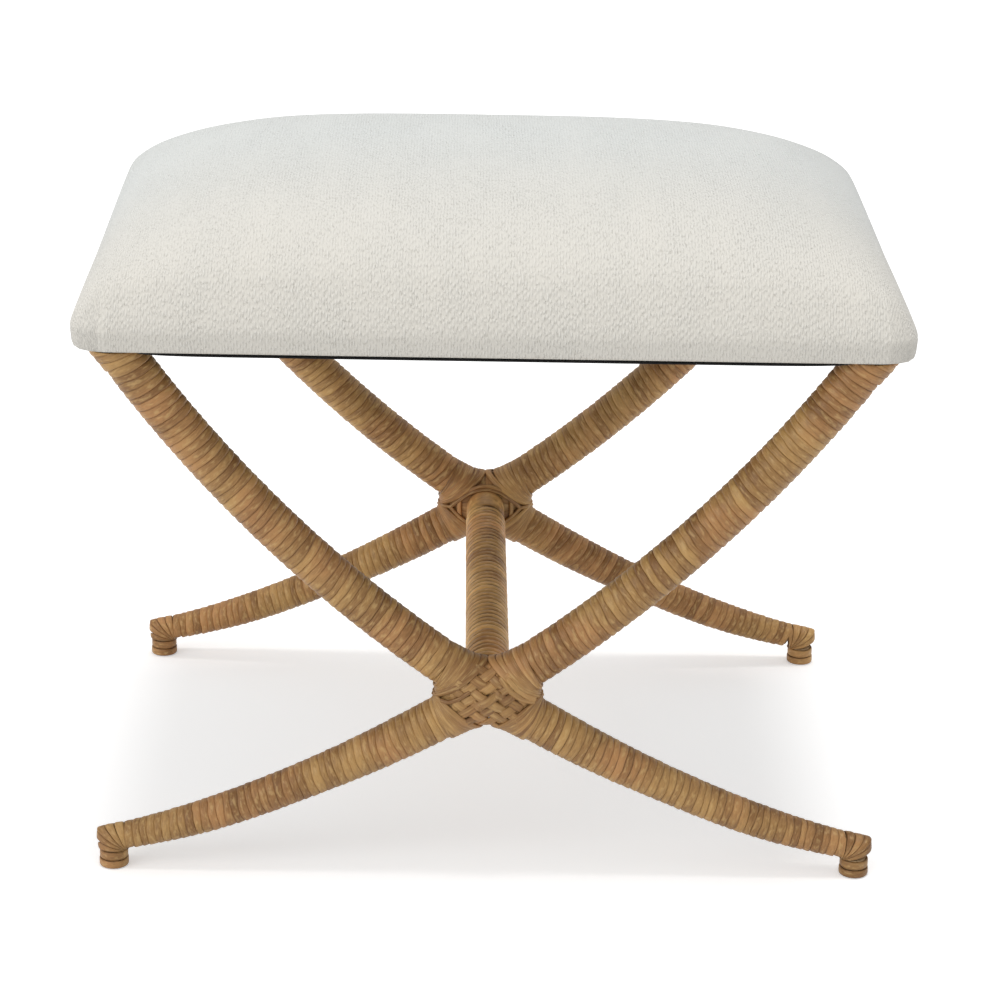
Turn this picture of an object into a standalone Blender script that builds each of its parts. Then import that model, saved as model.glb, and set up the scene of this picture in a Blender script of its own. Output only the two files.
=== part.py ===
"""Upholstered bench on two crossed rattan frames.

Four bent poles cross in pairs, one pair at the front and one at the back. A round
stretcher joins the two crossings. Every pole is wound with cane, the crossings and
the feet are bound, and a crowned seat is screwed down on the four pole tops.

Metres, +Z up, +X along the seat's width, +Y towards the back. The origin is on the
floor under the middle of the seat.
"""
from math import atan2, cos, pi, radians, sin, sqrt

import bmesh
import bpy
from mathutils import Matrix, Vector

# Clearances between neighbouring pieces
GAP = 0.0003
WRAP_GAP = 0.0004
LAP_CLEARANCE = 0.0008

# Seat
SEAT_WIDTH = 0.610
SEAT_DEPTH = 0.450
SEAT_CORNER_RADIUS = 0.030
SEAT_CORNER_LEAST = 0.004
SEAT_UNDERSIDE = 0.418
BOARD_THICKNESS = 0.015
COVER_THICKNESS = 0.0015
FOAM_CLEARANCE = 0.0007
FOAM_LIP = 0.0075
BAND_HEIGHT = 0.030
BAND_BULGE = 0.0008
SHOULDER_DROP = 0.018
SHOULDER_INSET = 0.0085
SHOULDER_STEPS = 2
CROWN_RISE = 0.0678
CROWN_POWER = 3.5
CROWN_FULLNESS = 0.54
CROWN_RINGS = 7
CROWN_RING_BIAS = 2.2
CORNER_STEPS = 4
LONG_SIDE_STEPS = 7
SHORT_SIDE_STEPS = 5
HEM_WIDTH = 0.028
HEM_FOLD_RADIUS = 0.0055
HEM_FOLD_STEPS = 3
DUST_COVER_THICKNESS = 0.0008
DUST_COVER_MARGIN = 0.010

# Poles
FRAME_INSET = 0.0234
POLE_TOP_INSET = 0.034
POLE_TOP_ANGLE = radians(55.3)
POLE_TOP_REACH = 0.3745
POLE_END_INSET = 0.0095
POLE_END_HEIGHT = 0.0223
POLE_END_ANGLE = radians(6.6)
POLE_END_REACH = 0.055
POLE_RADIUS = 0.0151
POLE_END_RADIUS = 0.0071
TAPER_START = 0.048
TAPER_LENGTH = 0.255
TAPER_POWER = 1.25
POLE_RINGS = 34
POLE_OVERLENGTH = 0.030
POLE_TIP_SHARE = 0.6
# Share of the tip still to go, and of the end radius there
POLE_TIP_ROUNDING = ((1 / 3, 0.86), (0.0, 0.55))

# Cane windings
STRIP_CREST = 0.0020
STRIP_SPACE = 0.0009
TUBE_RESOLUTION = 2
UPPER_TURNS = 17
LOWER_TURNS = 14
STRETCHER_TURNS = 13
TOP_BINDING_LENGTH = 0.020
TOP_BINDING_RINGS = 3
BINDING_WALL = 0.0018

# Crossings and stretcher
KNOT_REACH = 0.040
KNOT_COLLAR = 0.012
KNOT_PAD_BULGE = 0.0035
KNOT_PAD_WIDTH_SHARE = 0.9
KNOT_PAD_HEIGHT_SHARE = 0.7
KNOT_RINGS = 5
KNOT_BORE_RINGS = 9
STRETCHER_RADIUS = 0.0148
DOWEL_RADIUS = 0.005
DOWEL_DEPTH = 0.030

# Feet
FOOT_INSET = 0.0125
FOOT_RADIUS = 0.0090
FOOT_BINDING_REACH = 0.026
FOOT_BINDING_RINGS = 4
FOOT_BORE_RINGS = 6
FOOT_PACKING = 0.0012
FOOT_TENON_RADIUS = 0.004
FOOT_TENON_LENGTH = 0.008
GLIDE_RADIUS = 0.0088
GLIDE_THICKNESS = 0.003
GLIDE_CHAMFER = 0.0008
GLIDE_PIN_RADIUS = 0.0012
GLIDE_PIN_LENGTH = 0.009

# Seat screws
SCREW_RADIUS = 0.0025
SCREW_HEAD_RADIUS = 0.0046
SCREW_HEAD_HEIGHT = 0.0026
SCREW_LENGTH = 0.038
SCREW_PAIR_SPACING = 0.010
SCREW_SHIFT = 0.006

# Facets of round pieces and of the holes for them
ROUND_SIDES = 12
GLIDE_SIDES = 14
SCREW_SIDES = 10
SCREW_HOLE_SIDES = 8
SHARP_ANGLE = radians(38)

HALF_WIDTH = SEAT_WIDTH / 2
HALF_DEPTH = SEAT_DEPTH / 2
HALF_SPACING = HALF_DEPTH - FRAME_INSET
POLE_TOP_X = HALF_WIDTH - POLE_TOP_INSET
POLE_END_X = HALF_WIDTH - POLE_END_INSET
HEM_BOTTOM = SEAT_UNDERSIDE - GAP - COVER_THICKNESS
DUST_COVER_TOP = HEM_BOTTOM - GAP
POLE_TOP = DUST_COVER_TOP - DUST_COVER_THICKNESS - GAP
BOARD_TOP = SEAT_UNDERSIDE + BOARD_THICKNESS
BAND_TOP = SEAT_UNDERSIDE + BAND_HEIGHT
BOARD_INSET = COVER_THICKNESS + FOAM_CLEARANCE + FOAM_LIP
ROWS = (("front", -1), ("rear", 1))
POINTS_PER_TURN = 4 + 2 * TUBE_RESOLUTION
TURN_ANGLE = 2 * pi / POINTS_PER_TURN


def clear_scene():
    for item in list(bpy.data.objects):
        bpy.data.objects.remove(item, do_unlink=True)


def new_collection(name):
    group = bpy.data.collections.new(name)
    bpy.context.scene.collection.children.link(group)
    return group


def new_material(name, color, roughness, metallic=0.0):
    material = bpy.data.materials.new(name)
    material.use_nodes = True
    shader = material.node_tree.nodes["Principled BSDF"]
    shader.inputs["Base Color"].default_value = (*color, 1.0)
    shader.inputs["Roughness"].default_value = roughness
    shader.inputs["Metallic"].default_value = metallic
    material.diffuse_color = (*color, 1.0)
    return material


def add_object(name, mesh, material, group):
    item = bpy.data.objects.new(name, mesh)
    mesh.materials.clear()
    mesh.materials.append(material)
    mesh.shade_smooth()
    mesh.set_sharp_from_angle(angle=SHARP_ANGLE)
    group.objects.link(item)
    return item


def mesh_from(bm, name):
    bmesh.ops.recalc_face_normals(bm, faces=bm.faces)
    mesh = bpy.data.meshes.new(name)
    bm.to_mesh(mesh)
    bm.free()
    return mesh


def boolean(item, tool, operation="DIFFERENCE"):
    modifier = item.modifiers.new(operation.lower(), "BOOLEAN")
    modifier.operation = operation
    modifier.object = tool
    return modifier


def add_tool(name, mesh, group):
    """A cutter or filler that only shapes other objects."""
    tool = bpy.data.objects.new(name, mesh)
    tool.hide_render = True
    tool.display_type = "WIRE"
    group.objects.link(tool)
    return tool


def cylinder_mesh(name, radius, low, high, sides=ROUND_SIDES):
    """Upright cylinder between two heights on the Z axis."""
    bm = bmesh.new()
    bmesh.ops.create_cone(
        bm,
        cap_ends=True,
        segments=sides,
        radius1=radius,
        radius2=radius,
        depth=high - low,
    )
    bmesh.ops.translate(bm, verts=bm.verts, vec=(0, 0, (low + high) / 2))
    return mesh_from(bm, name)


def box_mesh(name, size):
    bm = bmesh.new()
    bmesh.ops.create_cube(bm, size=1.0)
    bmesh.ops.scale(bm, verts=bm.verts, vec=size)
    return mesh_from(bm, name)


def turned_object(name, profile, material, group, sides):
    """A profile of (radius, height) points turned about the Z axis."""
    bm = bmesh.new()
    points = [bm.verts.new((radius, 0, height)) for radius, height in profile]
    for upper, lower in zip(points, points[1:]):
        bm.edges.new((upper, lower))
    mesh = bpy.data.meshes.new(name)
    bm.to_mesh(mesh)
    bm.free()
    item = add_object(name, mesh, material, group)
    screw = item.modifiers.new("turn", "SCREW")
    screw.steps = sides
    screw.render_steps = sides
    screw.use_merge_vertices = True
    screw.merge_threshold = 0.00001
    return item


class Rail:
    """A centre line with its length measured, and a frame at every point of it."""

    SAMPLES = 600

    def __init__(self, curve, side_axis):
        self.side_axis = Vector(side_axis)
        self.points = [Vector(curve(k / self.SAMPLES)) for k in range(self.SAMPLES + 1)]
        self.lengths = [0.0]
        for first, second in zip(self.points, self.points[1:]):
            self.lengths.append(self.lengths[-1] + (second - first).length)
        self.length = self.lengths[-1]

    def place(self, distance):
        """Point, direction and in-plane normal at a distance along the line."""
        lengths = self.lengths
        low = 0
        high = self.SAMPLES - 1
        while low < high:
            middle = (low + high + 1) // 2
            if lengths[middle] <= distance:
                low = middle
            else:
                high = middle - 1
        share = (distance - lengths[low]) / (lengths[low + 1] - lengths[low])
        point = self.points[low].lerp(self.points[low + 1], share)
        before = max(low - 2, 0)
        after = min(low + 3, self.SAMPLES)
        direction = (self.points[after] - self.points[before]).normalized()
        normal = self.side_axis.cross(direction).normalized()
        return point, direction, normal

    def around(self, distance, angle, radius):
        point, _, normal = self.place(distance)
        return point + radius * (cos(angle) * normal + sin(angle) * self.side_axis)

    def distance_at_x(self, x):
        for k in range(self.SAMPLES):
            first = self.points[k].x
            second = self.points[k + 1].x
            if (first - x) * (second - x) <= 0:
                share = (x - first) / (second - first)
                return self.lengths[k] + share * (self.lengths[k + 1] - self.lengths[k])
        raise ValueError("the rail doesn't reach that place")


def pole_curve(mirror):
    """Bent centre line from under the seat on one side to the other side's foot."""
    start = Vector((-POLE_TOP_X, 0, POLE_TOP))
    end = Vector((POLE_END_X, 0, POLE_END_HEIGHT))
    leave = start + POLE_TOP_REACH * Vector((cos(POLE_TOP_ANGLE), 0, -sin(POLE_TOP_ANGLE)))
    arrive = end + POLE_END_REACH * Vector((-cos(POLE_END_ANGLE), 0, sin(POLE_END_ANGLE)))

    def curve(t):
        rest = 1 - t
        point = (
            rest**3 * start
            + 3 * rest**2 * t * leave
            + 3 * rest * t**2 * arrive
            + t**3 * end
        )
        return Vector((mirror * point.x, 0, point.z))

    return curve


POLE = {1: Rail(pole_curve(1), (0, 1, 0)), -1: Rail(pole_curve(-1), (0, -1, 0))}
POLE_LENGTH = POLE[1].length
CROSSING = POLE[1].distance_at_x(0.0)
CROSSING_HEIGHT = POLE[1].place(CROSSING)[0].z
CROSSING_DIRECTION = POLE[1].place(CROSSING)[1]
CROSSING_SLOPE = atan2(-CROSSING_DIRECTION.z, CROSSING_DIRECTION.x)
FOOT_X = POLE_END_X - FOOT_INSET
FOOT_AXIS_HEIGHT = POLE[1].place(POLE[1].distance_at_x(FOOT_X))[0].z
FOOT_BINDING_START = POLE_LENGTH - FOOT_BINDING_REACH
FOOT_OUTER = POLE[1].place(POLE[1].distance_at_x(FOOT_X + FOOT_RADIUS))[0].z
FOOT_TOP = FOOT_OUTER - POLE_END_RADIUS - FOOT_PACKING
TAPER_FROM = CROSSING + TAPER_START


def pole_radius(distance):
    share = min(max((distance - TAPER_FROM) / TAPER_LENGTH, 0.0), 1.0)
    return POLE_RADIUS - (POLE_RADIUS - POLE_END_RADIUS) * share**TAPER_POWER


def tube_mesh(name, stops):
    """Closed tube with flat ends through a list of (point, radius)."""
    curve = bpy.data.curves.new(name, "CURVE")
    curve.dimensions = "3D"
    curve.twist_mode = "Z_UP"
    curve.bevel_depth = 1.0
    curve.bevel_resolution = TUBE_RESOLUTION
    curve.use_fill_caps = True
    spline = curve.splines.new("POLY")
    spline.points.add(len(stops) - 1)
    for handle, (point, radius) in zip(spline.points, stops):
        handle.co = (*point, 1.0)
        handle.radius = radius
    return mesh_of_curve(curve)


def pole_sleeve_mesh(name, mirror, start, end, extra, rings):
    """Tube on a stretch of a pole's centre line, thicker than the pole by extra."""
    rail = POLE[mirror]
    stops = []
    for k in range(rings):
        distance = start + (end - start) * k / (rings - 1)
        stops.append((rail.place(distance)[0], pole_radius(distance) + extra))
    return tube_mesh(name, stops)


def mesh_of_curve(curve):
    """Closed mesh of a bevelled curve, with its caps welded on."""
    holder = bpy.data.objects.new(curve.name, curve)
    bpy.context.scene.collection.objects.link(holder)
    depsgraph = bpy.context.evaluated_depsgraph_get()
    mesh = bpy.data.meshes.new_from_object(holder.evaluated_get(depsgraph))
    bpy.data.objects.remove(holder, do_unlink=True)
    bm = bmesh.new()
    bm.from_mesh(mesh)
    bmesh.ops.remove_doubles(bm, verts=bm.verts, dist=0.000001)
    bmesh.ops.recalc_face_normals(bm, faces=bm.faces)
    bm.to_mesh(mesh)
    bm.free()
    return mesh


def winding_mesh(name, rail, start, end, turns, radius_at):
    """One unbroken strip with a raised middle, wound along a rail."""
    pitch = (end - start + STRIP_SPACE) / (turns + 1)
    half = (pitch - STRIP_SPACE) / 2
    stations = turns * POINTS_PER_TURN
    lower_edge = []
    upper_edge = []
    bm = bmesh.new()
    rows = []
    for k in range(stations + 1):
        angle = k * TURN_ANGLE
        middle = start + half + pitch * k / POINTS_PER_TURN
        lower = rail.around(middle - half, angle, radius_at(middle - half) + WRAP_GAP)
        crest = rail.around(middle, angle, radius_at(middle) + WRAP_GAP + STRIP_CREST)
        upper = rail.around(middle + half, angle, radius_at(middle + half) + WRAP_GAP)
        lower_edge.append(lower)
        upper_edge.append(upper)
        rows.append([bm.verts.new(point) for point in (lower, crest, upper)])
    for first, second in zip(rows, rows[1:]):
        for k in range(3):
            after = (k + 1) % 3
            bm.faces.new((first[k], first[after], second[after], second[k]))
    bm.faces.new(rows[0])
    bm.faces.new(reversed(rows[-1]))
    least = min(
        (lower_edge[k + POINTS_PER_TURN] - upper_edge[k]).length
        for k in range(stations + 1 - POINTS_PER_TURN)
    )
    print(f"{name}: least gap between turns {least * 1000:.2f} mm")
    return mesh_from(bm, name)


def seat_outline(inset):
    """Points of the rounded seat plan, drawn in by inset, anticlockwise."""
    half_x = HALF_WIDTH - inset
    half_y = HALF_DEPTH - inset
    radius = max(SEAT_CORNER_RADIUS - inset, SEAT_CORNER_LEAST)
    corners = (
        (half_x - radius, half_y - radius, 0.0, LONG_SIDE_STEPS),
        (radius - half_x, half_y - radius, pi / 2, SHORT_SIDE_STEPS),
        (radius - half_x, radius - half_y, pi, LONG_SIDE_STEPS),
        (half_x - radius, radius - half_y, 3 * pi / 2, SHORT_SIDE_STEPS),
    )
    points = []
    for k, (centre_x, centre_y, turn, side_steps) in enumerate(corners):
        for step in range(CORNER_STEPS + 1):
            angle = turn + pi / 2 * step / CORNER_STEPS
            points.append((centre_x + radius * cos(angle), centre_y + radius * sin(angle)))
        next_x, next_y, next_turn, _ = corners[(k + 1) % 4]
        target = (next_x + radius * cos(next_turn), next_y + radius * sin(next_turn))
        origin = points[-1]
        for step in range(1, side_steps):
            share = step / side_steps
            points.append(
                (
                    origin[0] + (target[0] - origin[0]) * share,
                    origin[1] + (target[1] - origin[1]) * share,
                )
            )
    return points


def edge_reach(along, half_along, half_across, radius):
    """Half size of the rounded plan across, at a place along the other axis."""
    past = abs(along) - (half_along - radius)
    if past <= 0:
        return half_across
    return half_across - radius + sqrt(max(radius**2 - past**2, 0.0))


def crown_height(x, y, inset):
    half_x = HALF_WIDTH - inset
    half_y = HALF_DEPTH - inset
    radius = max(SEAT_CORNER_RADIUS - inset, SEAT_CORNER_LEAST)
    share_x = min(abs(x) / edge_reach(y, half_y, half_x, radius), 1.0)
    share_y = min(abs(y) / edge_reach(x, half_x, half_y, radius), 1.0)
    fall_x = (1 - share_x**CROWN_POWER) ** CROWN_FULLNESS
    fall_y = (1 - share_y**CROWN_POWER) ** CROWN_FULLNESS
    return CROWN_RISE * fall_x * fall_y


def crown_rows(bm, inset):
    """Rings of points over the crown, from its rim inwards, and its middle point."""
    rows = []
    rim = SHOULDER_INSET + inset
    outline = seat_outline(rim)
    top = BAND_TOP - inset
    for k in range(CROWN_RINGS):
        scale = 1 - (k / CROWN_RINGS) ** CROWN_RING_BIAS
        ring = []
        for x, y in outline:
            height = top if k == 0 else top + crown_height(x * scale, y * scale, rim)
            ring.append(bm.verts.new((x * scale, y * scale, height)))
        rows.append(ring)
    middle = bm.verts.new((0, 0, top + CROWN_RISE))
    return rows, middle


def outline_row(bm, inset, height):
    return [bm.verts.new((x, y, height)) for x, y in seat_outline(inset)]


def shoulder_rows(bm, inset):
    """Rings from under the crown's rim down to where the band is widest."""
    rows = []
    for k in range(1, SHOULDER_STEPS + 1):
        share = 1 - k / SHOULDER_STEPS
        height = BAND_TOP - inset * share - SHOULDER_DROP * (1 - share)
        rows.append(outline_row(bm, SHOULDER_INSET * share**2 + inset, height))
    return rows


def bridge_rows(bm, rows):
    for upper, lower in zip(rows, rows[1:]):
        for k in range(len(upper)):
            after = (k + 1) % len(upper)
            bm.faces.new((upper[k], upper[after], lower[after], lower[k]))


def fan(bm, ring, middle):
    for k in range(len(ring)):
        bm.faces.new((ring[k], ring[(k + 1) % len(ring)], middle))


def seat_cover_mesh():
    """Open skin over the crown, down the band and turned under along a hem."""
    bm = bmesh.new()
    crown, middle = crown_rows(bm, 0.0)
    fan(bm, crown[-1], middle)
    fold_top = HEM_BOTTOM + HEM_FOLD_RADIUS
    skirt = shoulder_rows(bm, 0.0)
    for k in range(HEM_FOLD_STEPS + 1):
        angle = pi / 2 * k / HEM_FOLD_STEPS
        inset = BAND_BULGE + HEM_FOLD_RADIUS * (1 - cos(angle))
        skirt.append(outline_row(bm, inset, fold_top - HEM_FOLD_RADIUS * sin(angle)))
    hem_inset = BAND_BULGE + HEM_FOLD_RADIUS + HEM_WIDTH
    skirt.append(outline_row(bm, hem_inset, HEM_BOTTOM))
    bridge_rows(bm, crown[::-1] + skirt)
    return mesh_from(bm, "seat_cover")


def seat_foam_mesh():
    """Crowned block of foam that also wraps the board's edge."""
    bm = bmesh.new()
    rim = COVER_THICKNESS + FOAM_CLEARANCE
    crown, middle = crown_rows(bm, rim)
    fan(bm, crown[-1], middle)
    fold_top = HEM_BOTTOM + HEM_FOLD_RADIUS
    skirt = [
        *shoulder_rows(bm, rim),
        outline_row(bm, rim + BAND_BULGE, fold_top),
        outline_row(bm, rim + BAND_BULGE + HEM_FOLD_RADIUS / 2, SEAT_UNDERSIDE + GAP),
    ]
    bridge_rows(bm, crown[::-1] + skirt)
    bm.faces.new(skirt[-1])
    return mesh_from(bm, "seat_foam")


def plate_mesh(name, inset, low, high):
    """Flat plate with the seat's rounded plan."""
    bm = bmesh.new()
    rows = [outline_row(bm, inset, high), outline_row(bm, inset, low)]
    bridge_rows(bm, rows)
    bm.faces.new(rows[0])
    bm.faces.new(rows[-1][::-1])
    return mesh_from(bm, name)


def screw_places():
    """Seat screws, two in each pole top, just inside the pole's centre line."""
    places = []
    for row, end in ROWS:
        for side_name, side in (("left", -1), ("right", 1)):
            for number, step in ((1, -0.5), (2, 0.5)):
                x = side * (POLE_TOP_X - SCREW_SHIFT)
                y = end * HALF_SPACING + step * SCREW_PAIR_SPACING
                places.append((f"seat_screw_{row}_{side_name}_{number}", x, y))
    return places


def joined_cylinders(name, radius, low, high, places, sides):
    bm = bmesh.new()
    for x, y in places:
        made = bmesh.ops.create_cone(
            bm, cap_ends=True, segments=sides, radius1=radius, radius2=radius, depth=high - low
        )
        bmesh.ops.translate(bm, verts=made["verts"], vec=(x, y, (low + high) / 2))
    return mesh_from(bm, name)


def build_seat(kit):
    """Board, foam, cover and dust cover, and the screws that hold the poles."""
    board = add_object(
        "seat_board",
        plate_mesh("seat_board", BOARD_INSET, SEAT_UNDERSIDE, BOARD_TOP),
        kit.finish["plywood"],
        kit.parts,
    )
    boolean(board, kit.screw_holes)
    boolean(board, kit.head_holes)

    foam = add_object("seat_foam", seat_foam_mesh(), kit.finish["foam"], kit.parts)
    pocket = plate_mesh(
        "tool_board_pocket",
        BOARD_INSET - GAP,
        SEAT_UNDERSIDE - BOARD_THICKNESS,
        BOARD_TOP + GAP,
    )
    boolean(foam, add_tool("tool_board_pocket", pocket, kit.tools))

    cover = add_object("seat_cover", seat_cover_mesh(), kit.finish["cloth"], kit.parts)
    wall = cover.modifiers.new("thickness", "SOLIDIFY")
    wall.thickness = COVER_THICKNESS
    wall.offset = -1.0
    wall.use_even_offset = True
    boolean(cover, kit.screw_holes)

    low = DUST_COVER_TOP - DUST_COVER_THICKNESS
    dust_mesh = plate_mesh("dust_cover", DUST_COVER_MARGIN, low, DUST_COVER_TOP)
    dust = add_object("dust_cover", dust_mesh, kit.finish["black_cloth"], kit.parts)
    boolean(dust, kit.screw_holes)

    profile = [
        (0, BOARD_TOP - GAP),
        (SCREW_HEAD_RADIUS, BOARD_TOP - GAP),
        (SCREW_RADIUS, BOARD_TOP - SCREW_HEAD_HEIGHT - GAP),
        (SCREW_RADIUS, BOARD_TOP - SCREW_LENGTH + 2 * SCREW_RADIUS),
        (0, BOARD_TOP - SCREW_LENGTH),
    ]
    for name, x, y in screw_places():
        screw = turned_object(name, profile, kit.finish["steel"], kit.parts, SCREW_SIDES)
        screw.location = (x, y, 0)


def tool_from(name, mesh, tools, y=0.0):
    tool = add_tool(name, mesh, tools)
    tool.location = (0, y, 0)
    return tool


def across_mesh(name, radius, low, high):
    """Round bar along Y between two depths, at the height of the crossings."""
    bm = bmesh.new()
    bmesh.ops.create_cone(
        bm, cap_ends=True, segments=ROUND_SIDES, radius1=radius, radius2=radius, depth=high - low
    )
    bmesh.ops.rotate(bm, verts=bm.verts, matrix=Matrix.Rotation(pi / 2, 3, "X"))
    bmesh.ops.translate(bm, verts=bm.verts, vec=(0, (low + high) / 2, CROSSING_HEIGHT))
    return mesh_from(bm, name)


def pole_core_mesh(name, mirror):
    """The pole with a straight lead past its top and a rounded tip at the foot."""
    rail = POLE[mirror]
    tip = POLE_TIP_SHARE * POLE_END_RADIUS
    stops = [(rail.place(-POLE_OVERLENGTH)[0], POLE_RADIUS)]
    for k in range(POLE_RINGS):
        distance = (POLE_LENGTH - tip) * k / (POLE_RINGS - 1)
        stops.append((rail.place(distance)[0], pole_radius(distance)))
    for left, share in POLE_TIP_ROUNDING:
        stops.append((rail.place(POLE_LENGTH - tip * left)[0], share * POLE_END_RADIUS))
    return tube_mesh(name, stops)


def build_pole(side, mirror, row, end, kit):
    """One bent pole, halved where it crosses its partner."""
    name = f"{row}_pole_{side}"
    y = end * HALF_SPACING
    pole = add_object(name, pole_core_mesh(name, mirror), kit.finish["pole"], kit.parts)
    pole.location = (0, y, 0)
    boolean(pole, kit.above)
    boolean(pole, kit.screw_holes)

    depth = 3 * POLE_RADIUS
    lap_size = (6 * POLE_RADIUS, depth, 2 * (POLE_RADIUS + LAP_CLEARANCE))
    lap = add_tool(f"tool_lap_{name}", box_mesh(f"tool_lap_{name}", lap_size), kit.tools)
    lap.location = (0, y + mirror * end * (GAP / 2 - depth / 2), CROSSING_HEIGHT)
    lap.rotation_euler = (0, -mirror * CROSSING_SLOPE, 0)
    boolean(pole, lap)
    boolean(pole, kit.dowel_bore[end])

    tenon_bore = add_tool(
        f"tool_tenon_{name}",
        cylinder_mesh(
            "tool_tenon",
            FOOT_TENON_RADIUS + GAP,
            0,
            FOOT_TOP + FOOT_TENON_LENGTH + 2 * GAP,
        ),
        kit.tools,
    )
    tenon_bore.location = (mirror * FOOT_X, y, 0)
    boolean(pole, tenon_bore)


def build_windings(side, mirror, row, end, kit):
    """Two unbroken cane windings on a pole, above and below its crossing."""
    rail = POLE[mirror]
    spans = (
        ("upper", TOP_BINDING_LENGTH + 2 * GAP, CROSSING - KNOT_REACH - 2 * GAP, UPPER_TURNS),
        ("lower", CROSSING + KNOT_REACH + 2 * GAP, FOOT_BINDING_START - 2 * GAP, LOWER_TURNS),
    )
    for part, start, finish_at, turns in spans:
        name = f"{row}_winding_{side}_{part}"
        mesh = winding_mesh(name, rail, start, finish_at, turns, pole_radius)
        winding = add_object(name, mesh, kit.finish["cane"], kit.parts)
        winding.location = (0, end * HALF_SPACING, 0)


def build_top_binding(side, mirror, row, end, kit):
    """Short cane sleeve round the pole where it meets the seat."""
    name = f"{row}_top_binding_{side}"
    y = end * HALF_SPACING
    sleeve = pole_sleeve_mesh(
        name, mirror, -POLE_OVERLENGTH, TOP_BINDING_LENGTH, GAP + BINDING_WALL, TOP_BINDING_RINGS
    )
    binding = add_object(name, sleeve, kit.finish["cane"], kit.parts)
    binding.location = (0, y, 0)
    inside = pole_sleeve_mesh(
        "tool_inside", mirror, -2 * POLE_OVERLENGTH, 2 * TOP_BINDING_LENGTH, GAP, TOP_BINDING_RINGS + 1
    )
    boolean(binding, tool_from(f"tool_inside_{name}", inside, kit.tools, y))
    boolean(binding, kit.above)


def build_knot(row, end, kit):
    """Cane binding over the crossing of two poles and the root of the stretcher.

    The second arm and its bore are a gap wider, so that no two faces coincide.
    """
    name = f"{row}_knot"
    y = end * HALF_SPACING
    extra = GAP + BINDING_WALL
    start = CROSSING - KNOT_REACH
    finish_at = CROSSING + KNOT_REACH
    knot = add_object(
        name,
        pole_sleeve_mesh(name, 1, start, finish_at, extra, KNOT_RINGS),
        kit.finish["cane"],
        kit.parts,
    )
    knot.location = (0, y, 0)
    partner = pole_sleeve_mesh("tool_arm", -1, start, finish_at, extra + GAP, KNOT_RINGS)
    boolean(knot, tool_from(f"tool_arm_{name}", partner, kit.tools, y), "UNION")

    pad = bmesh.new()
    bmesh.ops.create_uvsphere(pad, u_segments=14, v_segments=8, radius=1.0)
    pad_depth = POLE_RADIUS + extra + KNOT_PAD_BULGE
    pad_size = (KNOT_PAD_WIDTH_SHARE * KNOT_REACH, pad_depth, KNOT_PAD_HEIGHT_SHARE * KNOT_REACH)
    bmesh.ops.scale(pad, verts=pad.verts, vec=pad_size)
    bmesh.ops.translate(pad, verts=pad.verts, vec=(0, 0, CROSSING_HEIGHT))
    pad_tool = tool_from(f"tool_pad_{name}", mesh_from(pad, "tool_pad"), kit.tools, y)
    boolean(knot, pad_tool, "UNION")

    root = -end * POLE_RADIUS / 2
    rim = -end * (POLE_RADIUS + KNOT_COLLAR)
    collar = across_mesh(
        "tool_collar", STRETCHER_RADIUS + extra, min(root, rim), max(root, rim)
    )
    boolean(knot, tool_from(f"tool_collar_{name}", collar, kit.tools, y), "UNION")

    for mirror, slack in ((1, GAP), (-1, 2 * GAP)):
        inside = pole_sleeve_mesh(
            "tool_inside",
            mirror,
            start - KNOT_REACH / 2,
            finish_at + KNOT_REACH / 2,
            slack,
            KNOT_BORE_RINGS,
        )
        tool = tool_from(f"tool_inside_{name}_{mirror + 1}", inside, kit.tools, y)
        boolean(knot, tool)
    boolean(knot, kit.stretcher_space)


def build_stretcher(kit):
    """Round bar between the two crossings, its winding and its two dowels."""
    half = HALF_SPACING - POLE_RADIUS - GAP
    ends = [(Vector((0, y, CROSSING_HEIGHT)), STRETCHER_RADIUS) for y in (-half, half)]
    stretcher = add_object("stretcher", tube_mesh("stretcher", ends), kit.finish["pole"], kit.parts)
    for end in (-1, 1):
        boolean(stretcher, kit.dowel_bore[end])

    reach = HALF_SPACING - POLE_RADIUS - KNOT_COLLAR - 2 * GAP

    def axis_line(t):
        return Vector((0, reach * (2 * t - 1), CROSSING_HEIGHT))

    rail = Rail(axis_line, (1, 0, 0))
    mesh = winding_mesh(
        "stretcher_winding", rail, 0.0, rail.length, STRETCHER_TURNS, lambda _: STRETCHER_RADIUS
    )
    add_object("stretcher_winding", mesh, kit.finish["cane"], kit.parts)

    for row, end in ROWS:
        outer = end * (HALF_SPACING + POLE_RADIUS - DOWEL_RADIUS / 2)
        inner = end * (HALF_SPACING - POLE_RADIUS - DOWEL_DEPTH)
        dowel = across_mesh(
            f"{row}_cross_dowel", DOWEL_RADIUS, min(outer, inner), max(outer, inner)
        )
        add_object(f"{row}_cross_dowel", dowel, kit.finish["dowel"], kit.parts)


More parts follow.
